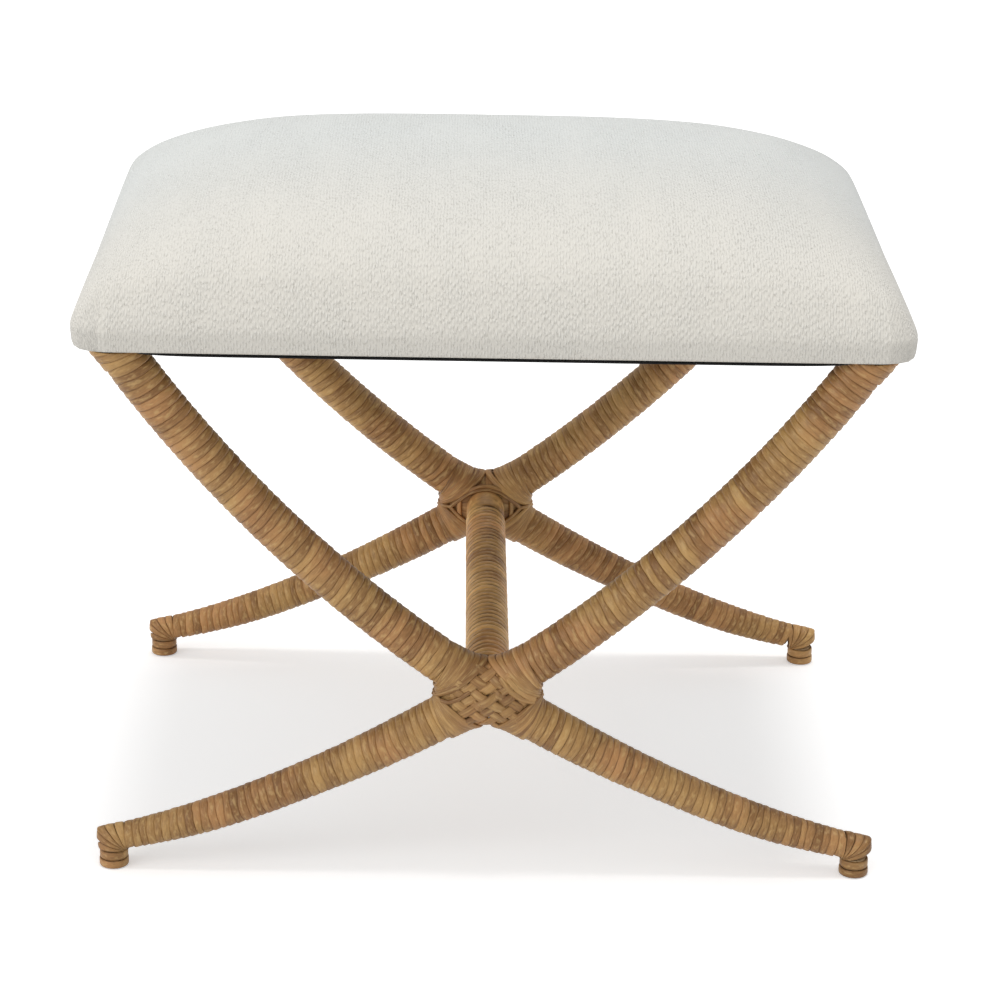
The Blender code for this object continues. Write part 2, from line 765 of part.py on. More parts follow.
def build_foot(side, mirror, row, end, kit):
    """Peg under the pole's end, the binding round both and a glide pinned below."""
    x = mirror * FOOT_X
    y = end * HALF_SPACING
    stand = GLIDE_THICKNESS + GAP
    pin_bore = GLIDE_PIN_RADIUS + GAP
    pin_top = GLIDE_THICKNESS + GLIDE_PIN_LENGTH
    peg_profile = [
        (0, FOOT_TOP + FOOT_TENON_LENGTH),
        (FOOT_TENON_RADIUS, FOOT_TOP + FOOT_TENON_LENGTH),
        (FOOT_TENON_RADIUS, FOOT_TOP),
        (FOOT_RADIUS, FOOT_TOP),
        (FOOT_RADIUS, stand),
        (pin_bore, stand),
        (pin_bore, pin_top + GAP),
        (0, pin_top + GAP),
    ]
    peg = turned_object(f"{row}_foot_peg_{side}", peg_profile, kit.finish["dowel"], kit.parts, ROUND_SIDES)
    peg.location = (x, y, 0)
    glide_profile = [
        (0, pin_top),
        (GLIDE_PIN_RADIUS, pin_top),
        (GLIDE_PIN_RADIUS, GLIDE_THICKNESS),
        (GLIDE_RADIUS, GLIDE_THICKNESS),
        (GLIDE_RADIUS, GLIDE_CHAMFER),
        (GLIDE_RADIUS - GLIDE_CHAMFER, 0),
        (0, 0),
    ]
    glide = turned_object(
        f"{row}_foot_glide_{side}", glide_profile, kit.finish["glide"], kit.parts, GLIDE_SIDES
    )
    glide.location = (x, y, 0)

    name = f"{row}_foot_binding_{side}"
    elbow = pole_sleeve_mesh(
        name,
        mirror,
        FOOT_BINDING_START,
        POLE_LENGTH + BINDING_WALL,
        GAP + BINDING_WALL,
        FOOT_BINDING_RINGS,
    )
    binding = add_object(name, elbow, kit.finish["cane"], kit.parts)
    binding.location = (0, y, 0)
    wall = FOOT_RADIUS + GAP + BINDING_WALL
    stub = add_tool(
        f"tool_stub_{name}",
        cylinder_mesh("tool_stub", wall, stand + GAP, FOOT_AXIS_HEIGHT),
        kit.tools,
    )
    stub.location = (x, y, 0)
    boolean(binding, stub, "UNION")
    inside = pole_sleeve_mesh(
        "tool_inside",
        mirror,
        FOOT_BINDING_START - 2 * FOOT_RADIUS,
        POLE_LENGTH + GAP,
        GAP,
        FOOT_BORE_RINGS,
    )
    boolean(binding, tool_from(f"tool_inside_{name}", inside, kit.tools, y))
    for part, radius, top in (
        ("peg", FOOT_RADIUS, FOOT_TOP),
        ("tenon", FOOT_TENON_RADIUS, FOOT_AXIS_HEIGHT),
    ):
        space = add_tool(
            f"tool_{part}_{name}",
            cylinder_mesh(f"tool_{part}", radius + GAP, -GLIDE_THICKNESS, top + GAP),
            kit.tools,
        )
        space.location = (x, y, 0)
        boolean(binding, space)


class Kit:
    """Collections, materials and the tools that several pieces share."""

    def __init__(self):
        self.parts = new_collection("rattan_bench")
        self.tools = new_collection("shaping_tools")
        self.finish = {
            "cloth": new_material("cream_cloth", (0.73, 0.72, 0.68), 0.95),
            "foam": new_material("foam", (0.85, 0.80, 0.62), 0.9),
            "plywood": new_material("plywood", (0.52, 0.38, 0.22), 0.7),
            "black_cloth": new_material("black_cloth", (0.03, 0.03, 0.03), 0.95),
            "pole": new_material("rattan_pole", (0.45, 0.29, 0.13), 0.6),
            "cane": new_material("cane", (0.36, 0.20, 0.08), 0.45),
            "dowel": new_material("beech", (0.60, 0.42, 0.24), 0.6),
            "steel": new_material("zinc_steel", (0.62, 0.62, 0.60), 0.35, 1.0),
            "glide": new_material("brown_plastic", (0.20, 0.15, 0.10), 0.5),
        }
        places = [(x, y) for _, x, y in screw_places()]
        self.screw_holes = tool_from(
            "tool_screw_holes",
            joined_cylinders(
                "tool_screw_holes",
                SCREW_RADIUS + GAP,
                BOARD_TOP - SCREW_LENGTH - 2 * GAP,
                BOARD_TOP + BOARD_THICKNESS,
                places,
                SCREW_HOLE_SIDES,
            ),
            self.tools,
        )
        self.head_holes = tool_from(
            "tool_head_holes",
            joined_cylinders(
                "tool_head_holes",
                SCREW_HEAD_RADIUS + GAP,
                BOARD_TOP - SCREW_HEAD_HEIGHT - 3 * GAP,
                BOARD_TOP + BOARD_THICKNESS,
                places,
                ROUND_SIDES,
            ),
            self.tools,
        )
        block = 2 * SEAT_WIDTH
        self.above = add_tool("tool_above", box_mesh("tool_above", (block,) * 3), self.tools)
        self.above.location = (0, 0, POLE_TOP + block / 2)
        self.dowel_bore = {}
        for end in (-1, 1):
            outer = end * (HALF_SPACING + 2 * POLE_RADIUS)
            inner = end * (HALF_SPACING - POLE_RADIUS - DOWEL_DEPTH - 2 * GAP)
            bore = across_mesh(
                "tool_dowel_bore",
                DOWEL_RADIUS + GAP,
                min(outer, inner),
                max(outer, inner),
            )
            self.dowel_bore[end] = tool_from(f"tool_dowel_bore_{end + 1}", bore, self.tools)
        half = HALF_SPACING - POLE_RADIUS / 3
        space = [
            (Vector((0, y, CROSSING_HEIGHT)), STRETCHER_RADIUS + GAP) for y in (-half, half)
        ]
        self.stretcher_space = tool_from(
            "tool_stretcher_space", tube_mesh("tool_stretcher_space", space), self.tools
        )


def main():
    clear_scene()
    kit = Kit()
    build_seat(kit)
    for row, end in ROWS:
        for side, mirror in (("left", 1), ("right", -1)):
            build_pole(side, mirror, row, end, kit)
            build_top_binding(side, mirror, row, end, kit)
            build_windings(side, mirror, row, end, kit)
            build_foot(side, mirror, row, end, kit)
        build_knot(row, end, kit)
    build_stretcher(kit)


main()
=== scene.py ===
"""Looks of an upholstered bench on two crossed rattan frames.

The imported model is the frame. Cane windings, bindings and plaits, the woven seat
cover and its padding are built around it, and every part gets its finish.
Metres, +Z up, +X along the seat's width, +Y towards the back.
"""
import math

import bmesh
import bpy
import numpy as np
from mathutils import Matrix, Vector


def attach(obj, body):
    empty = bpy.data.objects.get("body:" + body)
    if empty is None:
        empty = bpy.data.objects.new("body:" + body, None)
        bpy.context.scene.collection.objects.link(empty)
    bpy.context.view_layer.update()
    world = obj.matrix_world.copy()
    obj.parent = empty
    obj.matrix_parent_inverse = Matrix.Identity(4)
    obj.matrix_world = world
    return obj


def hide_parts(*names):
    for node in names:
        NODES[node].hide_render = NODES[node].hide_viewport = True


bl_info = {
    "name": "Rattan Bench",
    "version": (1, 0, 0),
    "blender": (4, 5, 0),
    "location": "View3D > Sidebar > Bench",
    "description": "Builds the windings, plaits, seat cover and finishes of a rattan bench",
    "category": "Object",
}

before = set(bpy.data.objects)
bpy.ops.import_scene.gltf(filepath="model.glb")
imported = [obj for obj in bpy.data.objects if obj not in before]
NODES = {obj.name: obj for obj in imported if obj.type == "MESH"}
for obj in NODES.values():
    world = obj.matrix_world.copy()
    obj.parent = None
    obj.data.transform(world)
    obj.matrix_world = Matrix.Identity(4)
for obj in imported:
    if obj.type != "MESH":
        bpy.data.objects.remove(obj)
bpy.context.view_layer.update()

# Sizes that the CAD model shares
HALF_WIDTH = 0.305
HALF_DEPTH = 0.225
HALF_SPACING = 0.2016
BAND_TOP = 0.448
BAND_BULGE = 0.0008
SHOULDER_DROP = 0.018
SHOULDER_INSET = 0.0085
CROWN_RISE = 0.0678
CROWN_POWER = 3.5
HEM_BOTTOM = 0.4162
COVER_THICKNESS = 0.0015
LINING_TOP = 0.4159
LINING_THICKNESS = 0.0008
LINING_MARGIN = 0.010
POLE_TOP = 0.4148
POLE_TOP_X = 0.271
POLE_TOP_ANGLE = math.radians(55.3)
POLE_TOP_REACH = 0.3745
POLE_END_X = 0.2955
POLE_END_HEIGHT = 0.0223
POLE_END_ANGLE = math.radians(6.6)
POLE_END_REACH = 0.055
POLE_RADIUS = 0.0151
POLE_END_RADIUS = 0.0071
TAPER_START = 0.048
TAPER_LENGTH = 0.255
TAPER_POWER = 1.25
STRETCHER_RADIUS = 0.0148
FOOT_X = 0.283
FOOT_BINDING_REACH = 0.026

# The seat's cover, padding and lining, where they are finer than the CAD model's
CORNER_RADIUS = 0.025
CORNER_POWER = 4.0
SHOULDER_REACH = 0.0200
SHOULDER_STEPS = 8
FRONT_FULLNESS = 0.60
REAR_FULLER = 0.75
FULLER_FROM = -0.05
FULLER_OVER = 0.25
CROWN_FULLNESS = 0.50
CROWN_HOLD = 0.5
CROWN_EXTRA = 0.02
SLOPE_STEP = 0.0015
BAND_LEVELS = (0.4255, 0.4235)
BULGE_HEIGHT = 0.011
FOLD_RADIUS = 0.0032
FOLD_ANGLES = (30, 60, 90)
HEM_STEPS = (0.010, 0.016, 0.022, 0.028)
COVER_CELL = 0.0078
COVER_INSET = 0.0005
COVER_SINK = 0.0031
COVER_PRESSURE = 4.0
COVER_FRAMES = 20
SWELL_ROUNDS = 24
FOAM_CELL = 0.012
FOAM_INSET = 0.0042
FOAM_SINK = 0.0066
FOAM_BOTTOM = 0.4182
LINING_SAG = 0.0022
LINING_HANG = 0.0015
LINING_STRETCH = 0.0035
LINING_CORNER_PULL = 0.045

# Sizes read from the photo: windings
LEAD_IN = 0.030
TOP_WRAP_END = 0.0195
TOP_WRAP_TURNS = 6
WRAP_STOP = 0.014
WRAP_OVERRUN = 0.0060
WRAP_CLEARANCE = 0.00035
WRAP_FLARE = 0.0014
FLARE_LENGTH = 0.026
LEAN_LENGTH = 0.15
FOOT_SWELL = 0.00175
FOOT_DROP = 0.0018
TIP_SHORTER = 0.0014
STRETCHER_PITCH = 0.0074
SMOOTH_END = 0.034

# Sizes read from the photo: knots
KNOT_EASE = 0.017
KNOT_BULGE = 0.0032
CROTCH = (0.0385, -0.0012)
CROTCH_SPREAD = 0.0035
FAN_STRIPS = 6
FAN_ANGLES = (math.radians(60.0), math.radians(38.0))
FAN_BREADTH = 0.0057
FAN_LIFT = 0.0012
FAN_LIFT_STEP = 0.00032
FAN_START = 0.013
FAN_PINCH = 0.35
FAN_OVERLAP = 1.04
FAN_JITTER = 0.02
FAN_POINTS = 100
DIAMOND_ANGLE = math.radians(33.0)
PLAIT_PITCH = 0.0078
PLAIT_BREADTH = 0.0072
PLAIT_REACH = 0.031
PLAIT_TAPER = 0.45
PLAIT_LIFT = 0.0021
PLAIT_WAVE = 0.0007
PLAIT_POINTS = 46
# Spots, breadth and lift of each rolled strip beside the plait
EDGE_STRIPS = (
    (((-0.036, -0.003), (-0.029, -0.0035), (-0.021, 0.001), (-0.0125, 0.0085)), 0.0034, 0.0034),
    (((0.0135, 0.019), (0.022, 0.009), (0.030, 0.0015), (0.0365, -0.002)), 0.0046, 0.0033),
    (((0.0080, 0.0185), (0.0165, 0.008), (0.026, -0.0005), (0.0365, -0.004)), 0.0046, 0.0030),
)
GROUND_BREADTH = 0.0105
GROUND_THICKNESS = 0.0011
# Rise over the crossing and extra depth of each arch over the stretcher's root
ARCHES = ((STRETCHER_RADIUS + 0.0022, 0.0), (STRETCHER_RADIUS + 0.0022 + 0.0030, -0.0012))
ARCH_REACH = 0.0395
ARCH_HUMP = 0.030
ARCH_DEPTH = 0.0196
ARCH_DEPTH_REACH = 0.034
ARCH_LEAST_DEPTH = 0.006
ARCH_BREADTH = 0.0034
ARCH_THICKNESS = 0.0014
ARCH_POINTS = 64

# Sizes read from the photo: feet
ELBOW_CORNER = (0.2726, 0.0140)
ELBOW_END = 0.2949
ELBOW_TOP = 0.0296
ELBOW_ROUND = 0.0022
ELBOW_FALL = math.radians(12.5)
ELBOW_START = math.radians(101)
ELBOW_TURNS = 5
STUB_RADIUS = 0.0100
STUB_SEAM = 0.0068
STUB_TOP = 0.0140
STUB_TURNS = 1.3
FOOT_BOTTOM = 0.0008

# Each row of legs and its way along Y
ROWS = (("front", -1), ("rear", 1))
# Each leg's row and that row's way, the side it meets the seat on, and its way down along X
LEGS = tuple(
    (row, end, side, mirror)
    for row, end in ROWS
    for side, mirror in (("left", 1), ("right", -1))
)
# For each leg, the way round it is wound, how much its turns lean near the seat, and all along
WRAP_WAYS = {
    ("front", "left"): (1, -0.27, 0.0),
    ("front", "right"): (-1, -0.14, 0.03),
    ("rear", "left"): (-1, -0.12, -0.07),
    ("rear", "right"): (-1, -0.08, 0.06),
}
# For each finish, where the painted shade at a strip's edge starts, how dark that painted shade is,
# and how light it all is; the rear and stretcher finishes are brightened copies, painted light that
# makes up for the seat's shade on them
CANE_TONES = {
    "cane_front": (0.66, 0.54, 1.00),
    "cane_rear": (0.66, 0.50, 1.17),
    "cane_fine": (0.45, 0.95, 1.64),
}

# How finely strips are built, and how square and flat their section is
POINTS_PER_TURN = 26
SECTION_POINTS = 10
SECTION_SQUARENESS = 0.55
SECTION_FLATNESS = 0.42
STRIP_END_STEP = 0.34
MERGE_DISTANCE = 0.000002
CHAIN_STEP = 0.0015
POLE_RINGS = 120
POLE_SIDES = 28
SOCKET_KINDS = {float: "NodeSocketFloat", int: "NodeSocketInt", type(None): "NodeSocketMaterial"}

# The stage
LAMPS = (
    ("top_light", (0.12, 0.07, 3.0), math.radians(18.0)),
    ("key_light", (-1.9, -1.5, 1.15), math.radians(40.0)),
)
FLOOR_REACH = 8.0
SENSOR_WIDTH = 36.0
CAMERA_PLACE = (-0.0282, -2.2526, 1.0766)
CAMERA_YAW = math.radians(0.959)
CAMERA_PITCH = math.radians(20.70)
CAMERA_ROLL = math.radians(-1.19)


def srgb(red, green, blue):
    """Linear colour of a screen colour given from 0 to 255."""
    made = []
    for part in (red, green, blue):
        value = part / 255
        made.append(value / 12.92 if value <= 0.04045 else ((value + 0.055) / 1.055) ** 2.4)
    return (*made, 1.0)


def both_ways(operation):
    """An operator and its reflected form, which add a Math node."""

    def plain(term, other):
        return term.graph.math(operation, term, other)

    def reflected(term, other):
        return term.graph.math(operation, other, term)

    return plain, reflected


class Term:
    """A node's output that takes part in arithmetic by adding Math nodes."""

    __add__, __radd__ = both_ways("ADD")
    __sub__, __rsub__ = both_ways("SUBTRACT")
    __mul__, __rmul__ = both_ways("MULTIPLY")
    __truediv__, __rtruediv__ = both_ways("DIVIDE")
    __pow__, __rpow__ = both_ways("POWER")

    def __init__(self, graph, socket):
        self.graph = graph
        self.socket = socket

    def also(self, name):
        """Another output of the same node."""
        return Term(self.graph, self.socket.node.outputs[name])


class Graph:
    """Adds nodes to a tree, fed with values or with other nodes' outputs."""

    def __init__(self, tree):
        self.tree = tree
        self.depth = {}

    def add(self, kind, settings=None, values=None, output=0):
        node = self.tree.nodes.new(kind)
        for name, value in (settings or {}).items():
            setattr(node, name, value)
        level = 0
        for key, value in (values or {}).items():
            if isinstance(value, Term):
                self.tree.links.new(value.socket, node.inputs[key])
                level = max(level, self.depth.get(value.socket.node.name, 0) + 1)
            else:
                node.inputs[key].default_value = value
        self.depth[node.name] = level
        row = sum(1 for other in self.depth.values() if other == level)
        node.location = (220 * level, -180 * row)
        return Term(self, node.outputs[output])

    def math(self, operation, first, second=0.0):
        return self.add("ShaderNodeMath", {"operation": operation}, {0: first, 1: second})

    def vector(self, operation, first, second=None, scale=None):
        values = {0: first}
        if second is not None:
            values[1] = second
        if scale is not None:
            values[3] = scale
        return self.add("ShaderNodeVectorMath", {"operation": operation}, values)

    def clamp(self, value, low=0.0, high=1.0):
        return self.math("MINIMUM", self.math("MAXIMUM", value, low), high)

    def span(self, value, low, high):
        """Smooth step from 0 at low to 1 at high."""
        values = {0: value, 1: low, 2: high, 3: 0.0, 4: 1.0}
        return self.add("ShaderNodeMapRange", {"interpolation_type": "SMOOTHSTEP"}, values)

    def mix(self, share, first, second, blend="MIX"):
        settings = {"data_type": "RGBA", "blend_type": blend, "clamp_factor": True}
        return self.add("ShaderNodeMix", settings, {0: share, 6: first, 7: second}, 2)

    def noise(self, place, scale, detail=2.0, roughness=0.5):
        values = {"Vector": place, "Scale": scale, "Detail": detail, "Roughness": roughness}
        return self.add("ShaderNodeTexNoise", None, values)

    def noise_at(self, x, y, z, detail=2.0, roughness=0.5):
        """Noise at a place given by three numbers."""
        place = self.add("ShaderNodeCombineXYZ", None, {0: x, 1: y, 2: z})
        return self.noise(place, 1.0, detail, roughness)

    def place(self):
        return self.add("ShaderNodeTexCoord").also("Object")

    def attribute(self, name):
        return self.add("ShaderNodeAttribute", {"attribute_name": name}, None, 2)

    def blend(self, share, first, second):
        """One shader, going over to another by a share."""
        return self.add("ShaderNodeMixShader", None, {0: share, 1: first, 2: second})


class Look(Graph):
    """A Principled material and the nodes that feed its shader."""

    def __init__(self, name, roughness, metallic=0.0):
        self.material = bpy.data.materials.new(name)
        self.material.use_nodes = True
        super().__init__(self.material.node_tree)
        self.shader = self.tree.nodes["Principled BSDF"]
        self.set("Roughness", roughness)
        self.set("Metallic", metallic)

    def set(self, name, value):
        self.shader.inputs[name].default_value = value

    def feed(self, name, term):
        self.tree.links.new(term.socket, self.shader.inputs[name])

    def bump(self, height, strength, distance):
        values = {"Strength": strength, "Distance": distance, "Height": height}
        self.feed("Normal", self.add("ShaderNodeBump", None, values))


def cane_material(name, settings):
    """Peeled cane: long fibres, tone that changes from turn to turn, soft painted shade in the
    grooves at each strip's edges, and painted highlight flecks on its crest.
    """
    tightness, darkness, lighter = CANE_TONES[name]
    look = Look(name, 0.42)
    along = look.attribute("along")
    across = look.attribute("across")
    lot = look.attribute("lot")
    side = look.math("ABSOLUTE", across)
    place = look.place()
    fibre = look.noise_at(along * 60.0, across * 3.0, lot * 9.0, 4.0, 0.62)
    streak = look.noise_at(along * 150.0, across * 4.5, lot * 5.0, 2.0)
    glint = look.noise_at(along * 62.0, across * 1.4, lot * 11.0, 2.0)
    patch = look.noise(place, 38.0, 2.0)
    warm = look.noise(place, 17.0, 1.0)
    turn = look.noise_at(lot * 0.83, lot * 0.31, 0.0, 1.0)
    share = look.clamp(0.5 + (turn - 0.5) * 2.6 + (fibre - 0.5) * 1.5 + (patch - 0.5) * 1.1)
    pale = look.mix(look.span(warm, 0.40, 0.62), settings.golden, settings.rosy)
    tone = look.mix(share, settings.deep, pale)
    crest = 1.0 - look.span(side, 0.25, 0.85)
    # Painted highlight: light flecks along each strip's crest stand for glints of light
    tone = look.mix(look.span(glint, 0.48, 0.70) * crest * 0.5, tone, settings.highlight_fleck)
    # Painted shade: each strip darkens towards its edges, by an amount that changes along it, where
    # it meets the groove beside the next strip
    opened = look.noise_at(along * 45.0, lot * 2.1, 4.0, 2.0)
    depth = 0.10 + look.span(opened, 0.40, 0.66) * 0.90
    groove_shade = look.span(side, tightness, 1.0) * depth
    shade = look.clamp(groove_shade * darkness + look.span(streak, 0.62, 0.80) * 0.28)
    color = look.mix(shade, tone, settings.groove_shade)
    # Painted light: the rear and stretcher finishes are brightened all over to make up for the
    # seat's shade on them
    if lighter != 1.0:
        color = look.mix(1.0, color, (lighter, lighter, lighter, 1.0), "MULTIPLY")
    look.feed("Base Color", color)
    look.feed("Roughness", 0.36 + fibre * 0.22 + groove_shade * 0.25)
    look.bump(fibre * 0.8 + streak * 0.6, 0.5, 0.0006)
    return look.material


def cloth_material(settings):
    """Chunky cream cloth: rows of short raised picks, uneven in height and in spacing, with painted
    highlight on their crests and painted shade between the yarns.
    """
    look = Look("cream_weave", 0.93)
    look.set("Sheen Weight", 0.2)
    look.set("Sheen Roughness", 0.6)
    weft = look.attribute("weft")
    warp = look.attribute("warp")
    yarn = settings.yarn_spacing
    wander = look.noise_at(weft * 70.0, warp * 60.0, 0.0, 2.0)
    lane = weft / yarn + (wander - 0.5) * 1.4
    column = look.math("FLOOR", lane)
    ridge = look.math("ABSOLUTE", look.math("SINE", lane * math.pi))
    slip = look.noise_at(column * 1.7, warp / (yarn * 4.0), 2.0, 1.0)
    phase = warp / (yarn * 3.1) + column * 0.5 + slip * 1.6
    pick = ridge * (0.5 + 0.5 * look.math("SINE", phase * (2 * math.pi)))
    nub = look.noise_at(weft / (yarn * 0.75), warp / (yarn * 1.9), 3.0, 2.0, 0.6)
    fuzz = look.noise_at(weft * 2600.0, warp * 1500.0, 5.0, 2.0)
    broad = look.noise_at(weft * 26.0, warp * 9.0, 9.0, 2.0)
    rough = 0.78 + look.span(broad, 0.35, 0.62) * 0.22
    pit = look.span(nub, 0.56, 0.72) * rough
    cool = look.clamp(look.span(warp, -0.26, 0.09) + (broad - 0.5) * 0.3)
    base = look.mix(cool, settings.cloth, settings.cloth_cool)
    valley = look.clamp((1.0 - pick) * 0.13 * rough + pit * 0.24)
    color = look.mix(valley, base, settings.cloth_shade)
    # Painted highlight on the crests of the raised picks
    crest = look.span(pick, 0.55, 0.95) * look.span(nub, 0.54, 0.40)
    color = look.mix(crest * 0.6, color, settings.cloth_highlight)
    look.feed("Base Color", color)
    height = pick * rough * 0.9 + crest * 0.3 - pit * 0.7 + fuzz * 0.2
    look.bump(height, 0.65, 0.0010)
    return look.material


def lining_material():
    """Thin black lining cloth, pressed in a fine dimple pattern."""
    look = Look("black_lining", 0.88)
    place = look.place()
    dimple = look.add("ShaderNodeTexVoronoi", None, {"Vector": place, "Scale": 620.0})
    fibre = look.noise(place, 900.0, 3.0)
    tone = look.mix(fibre, srgb(24, 24, 25), srgb(52, 52, 53))
    look.feed("Base Color", tone)
    look.bump(dimple + fibre * 0.4, 0.4, 0.0004)
    return look.material


def foam_material():
    """Open upholstery foam with fine cells, with painted shade in their hollows."""
    look = Look("seat_foam_cells", 0.95)
    place = look.place()
    cell = look.add("ShaderNodeTexVoronoi", None, {"Vector": place, "Scale": 480.0})
    patch = look.noise(place, 30.0, 3.0)
    tone = look.mix(patch, srgb(224, 212, 168), srgb(238, 230, 196))
    # Painted shade in the hollows of the foam cells
    hollow_shade = look.span(cell, 0.5, 0.1) * 0.3
    look.feed("Base Color", look.mix(hollow_shade, tone, srgb(176, 160, 112)))
    look.bump(cell, 0.7, 0.0008)
    return look.material


def grained_material(name, colors, stretch, scale, roughness):
    """Wood or pole whose fibres run along one axis by its stretch."""
    look = Look(name, roughness)
    mapping = look.add("ShaderNodeMapping", None, {"Vector": look.place(), "Scale": stretch})
    grain = look.noise(mapping, scale, 5.0, 0.6)
    pores = look.noise(mapping, scale * 5.0, 2.0)
    tone = look.mix(look.span(grain, 0.32, 0.68), colors[0], colors[1])
    tone = look.mix(look.span(pores, 0.58, 0.74) * 0.5, tone, colors[2])
    look.feed("Base Color", tone)
    look.feed("Roughness", roughness - 0.1 + grain * 0.25)
    look.bump(grain + pores * 0.5, 0.4, 0.0006)
    return look.material


def pole_material():
    found = bpy.data.materials.get("peeled_pole")
    return found or grained_material(
        "peeled_pole", (srgb(150, 112, 66), srgb(178, 140, 92), srgb(96, 66, 36)),
        (1.0, 1.0, 1.0), 90.0, 0.5,
    )


def plastic_material():
    """Brown moulded plastic, scuffed where it meets the floor."""
    look = Look("brown_glide", 0.5)
    place = look.place()
    scuff = look.noise(place, 700.0, 3.0)
    broad = look.noise(place, 120.0, 2.0)
    height = look.add("ShaderNodeSeparateXYZ", None, {0: place}).also("Z")
    worn = look.span(height, 0.0016, 0.0) * look.span(scuff, 0.40, 0.62)
    tone = look.mix(broad, srgb(92, 72, 50), srgb(112, 90, 64))
    look.feed("Base Color", look.mix(worn, tone, srgb(150, 136, 116)))
    look.feed("Roughness", 0.42 + worn * 0.3 + scuff * 0.1)
    look.bump(scuff, 0.25, 0.0003)
    return look.material


def zinc_material():
    """Zinc plate with its faint spangle."""
    look = Look("zinc_plate", 0.35, 1.0)
    place = look.place()
    spangle = look.add("ShaderNodeTexVoronoi", None, {"Vector": place, "Scale": 900.0}, 1)
    rub = look.noise(place, 1500.0, 2.0)
    tone = look.mix(rub, srgb(178, 180, 176), srgb(208, 208, 202))
    look.feed("Base Color", look.mix(0.12, tone, spangle, "OVERLAY"))
    look.feed("Roughness", 0.28 + rub * 0.2)
    look.bump(rub, 0.2, 0.0002)
    return look.material


class Route:
    """A measured centre line with a frame at every point of it."""

    def __init__(self, points, side_axis, facings=None):
        self.points = np.array(points, float)
        self.side_axis = np.array(side_axis, float)
        self.facings = None if facings is None else np.array(facings, float)
        steps = np.linalg.norm(np.diff(self.points, axis=0), axis=1)
        self.lengths = np.concatenate(([0.0], np.cumsum(steps)))
        self.length = self.lengths[-1]

    def read(self, distance, rows):
        return np.array([np.interp(distance, self.lengths, rows[:, k]) for k in range(3)])

    def at(self, distance):
        return self.read(distance, self.points)

    def heading(self, distance):
        """Direction and in-plane normal."""
        step = self.length / 400
        ahead = self.at(min(distance + step, self.length))
        direction = ahead - self.at(max(distance - step, 0.0))
        direction = direction / np.linalg.norm(direction)
        if self.facings is not None:
            return direction, self.read(distance, self.facings)
        return direction, np.cross(self.side_axis, direction)


def pole_points(mirror, y):
    """The bent centre line that the CAD poles follow, from the seat to the foot."""
    start = np.array([-POLE_TOP_X, POLE_TOP])
    end = np.array([POLE_END_X, POLE_END_HEIGHT])
    leave = start + POLE_TOP_REACH * np.array([math.cos(POLE_TOP_ANGLE), -math.sin(POLE_TOP_ANGLE)])
    arrive = end + POLE_END_REACH * np.array([-math.cos(POLE_END_ANGLE), math.sin(POLE_END_ANGLE)])
    made = []
    for t in np.linspace(0, 1, 601):
        rest = 1 - t
        x, z = rest**3 * start + 3 * rest**2 * t * leave + 3 * rest * t**2 * arrive + t**3 * end
        made.append((mirror * x, y, z))
    return made


def pole_route(mirror, end):
    return Route(pole_points(mirror, end * HALF_SPACING), (0, mirror, 0))


POLE = pole_route(1, 1)
CROSSING = float(np.interp(0.0, POLE.points[:, 0], POLE.lengths))
CROSSING_HEIGHT = float(POLE.at(CROSSING)[2])
SLOPE = math.atan2(-POLE.heading(CROSSING)[0][2], POLE.heading(CROSSING)[0][0])
BINDING_START = POLE.length - FOOT_BINDING_REACH


def pole_radius(distance):
    share = np.clip((distance - CROSSING - TAPER_START) / TAPER_LENGTH, 0, 1)
    return POLE_RADIUS - (POLE_RADIUS - POLE_END_RADIUS) * share**TAPER_POWER


def link_object(name, data):
    item = bpy.data.objects.new(name, data)
    bpy.context.scene.collection.objects.link(item)
    return item


def plain_mesh(bm, name, outward=True):
    """What was built, as a mesh whose faces point outwards."""
    if outward:
        bmesh.ops.recalc_face_normals(bm, faces=bm.faces)
    mesh = bpy.data.meshes.new(name)
    bm.to_mesh(mesh)
    bm.free()
    return mesh


def chain_object(points, **values):
    """Mesh polyline that carries number or vector attributes for a node tree."""
    mesh = bpy.data.meshes.new("chain")
    edges = [(k, k + 1) for k in range(len(points) - 1)]
    mesh.from_pydata([tuple(point) for point in points], edges, [])
    for key, numbers in values.items():
        numbers = np.asarray(numbers, np.float32)
        kind = "FLOAT_VECTOR" if numbers.ndim == 2 else "FLOAT"
        layer = mesh.attributes.new(key, kind, "POINT")
        layer.data.foreach_set("vector" if numbers.ndim == 2 else "value", numbers.ravel())
    return link_object("chain", mesh)


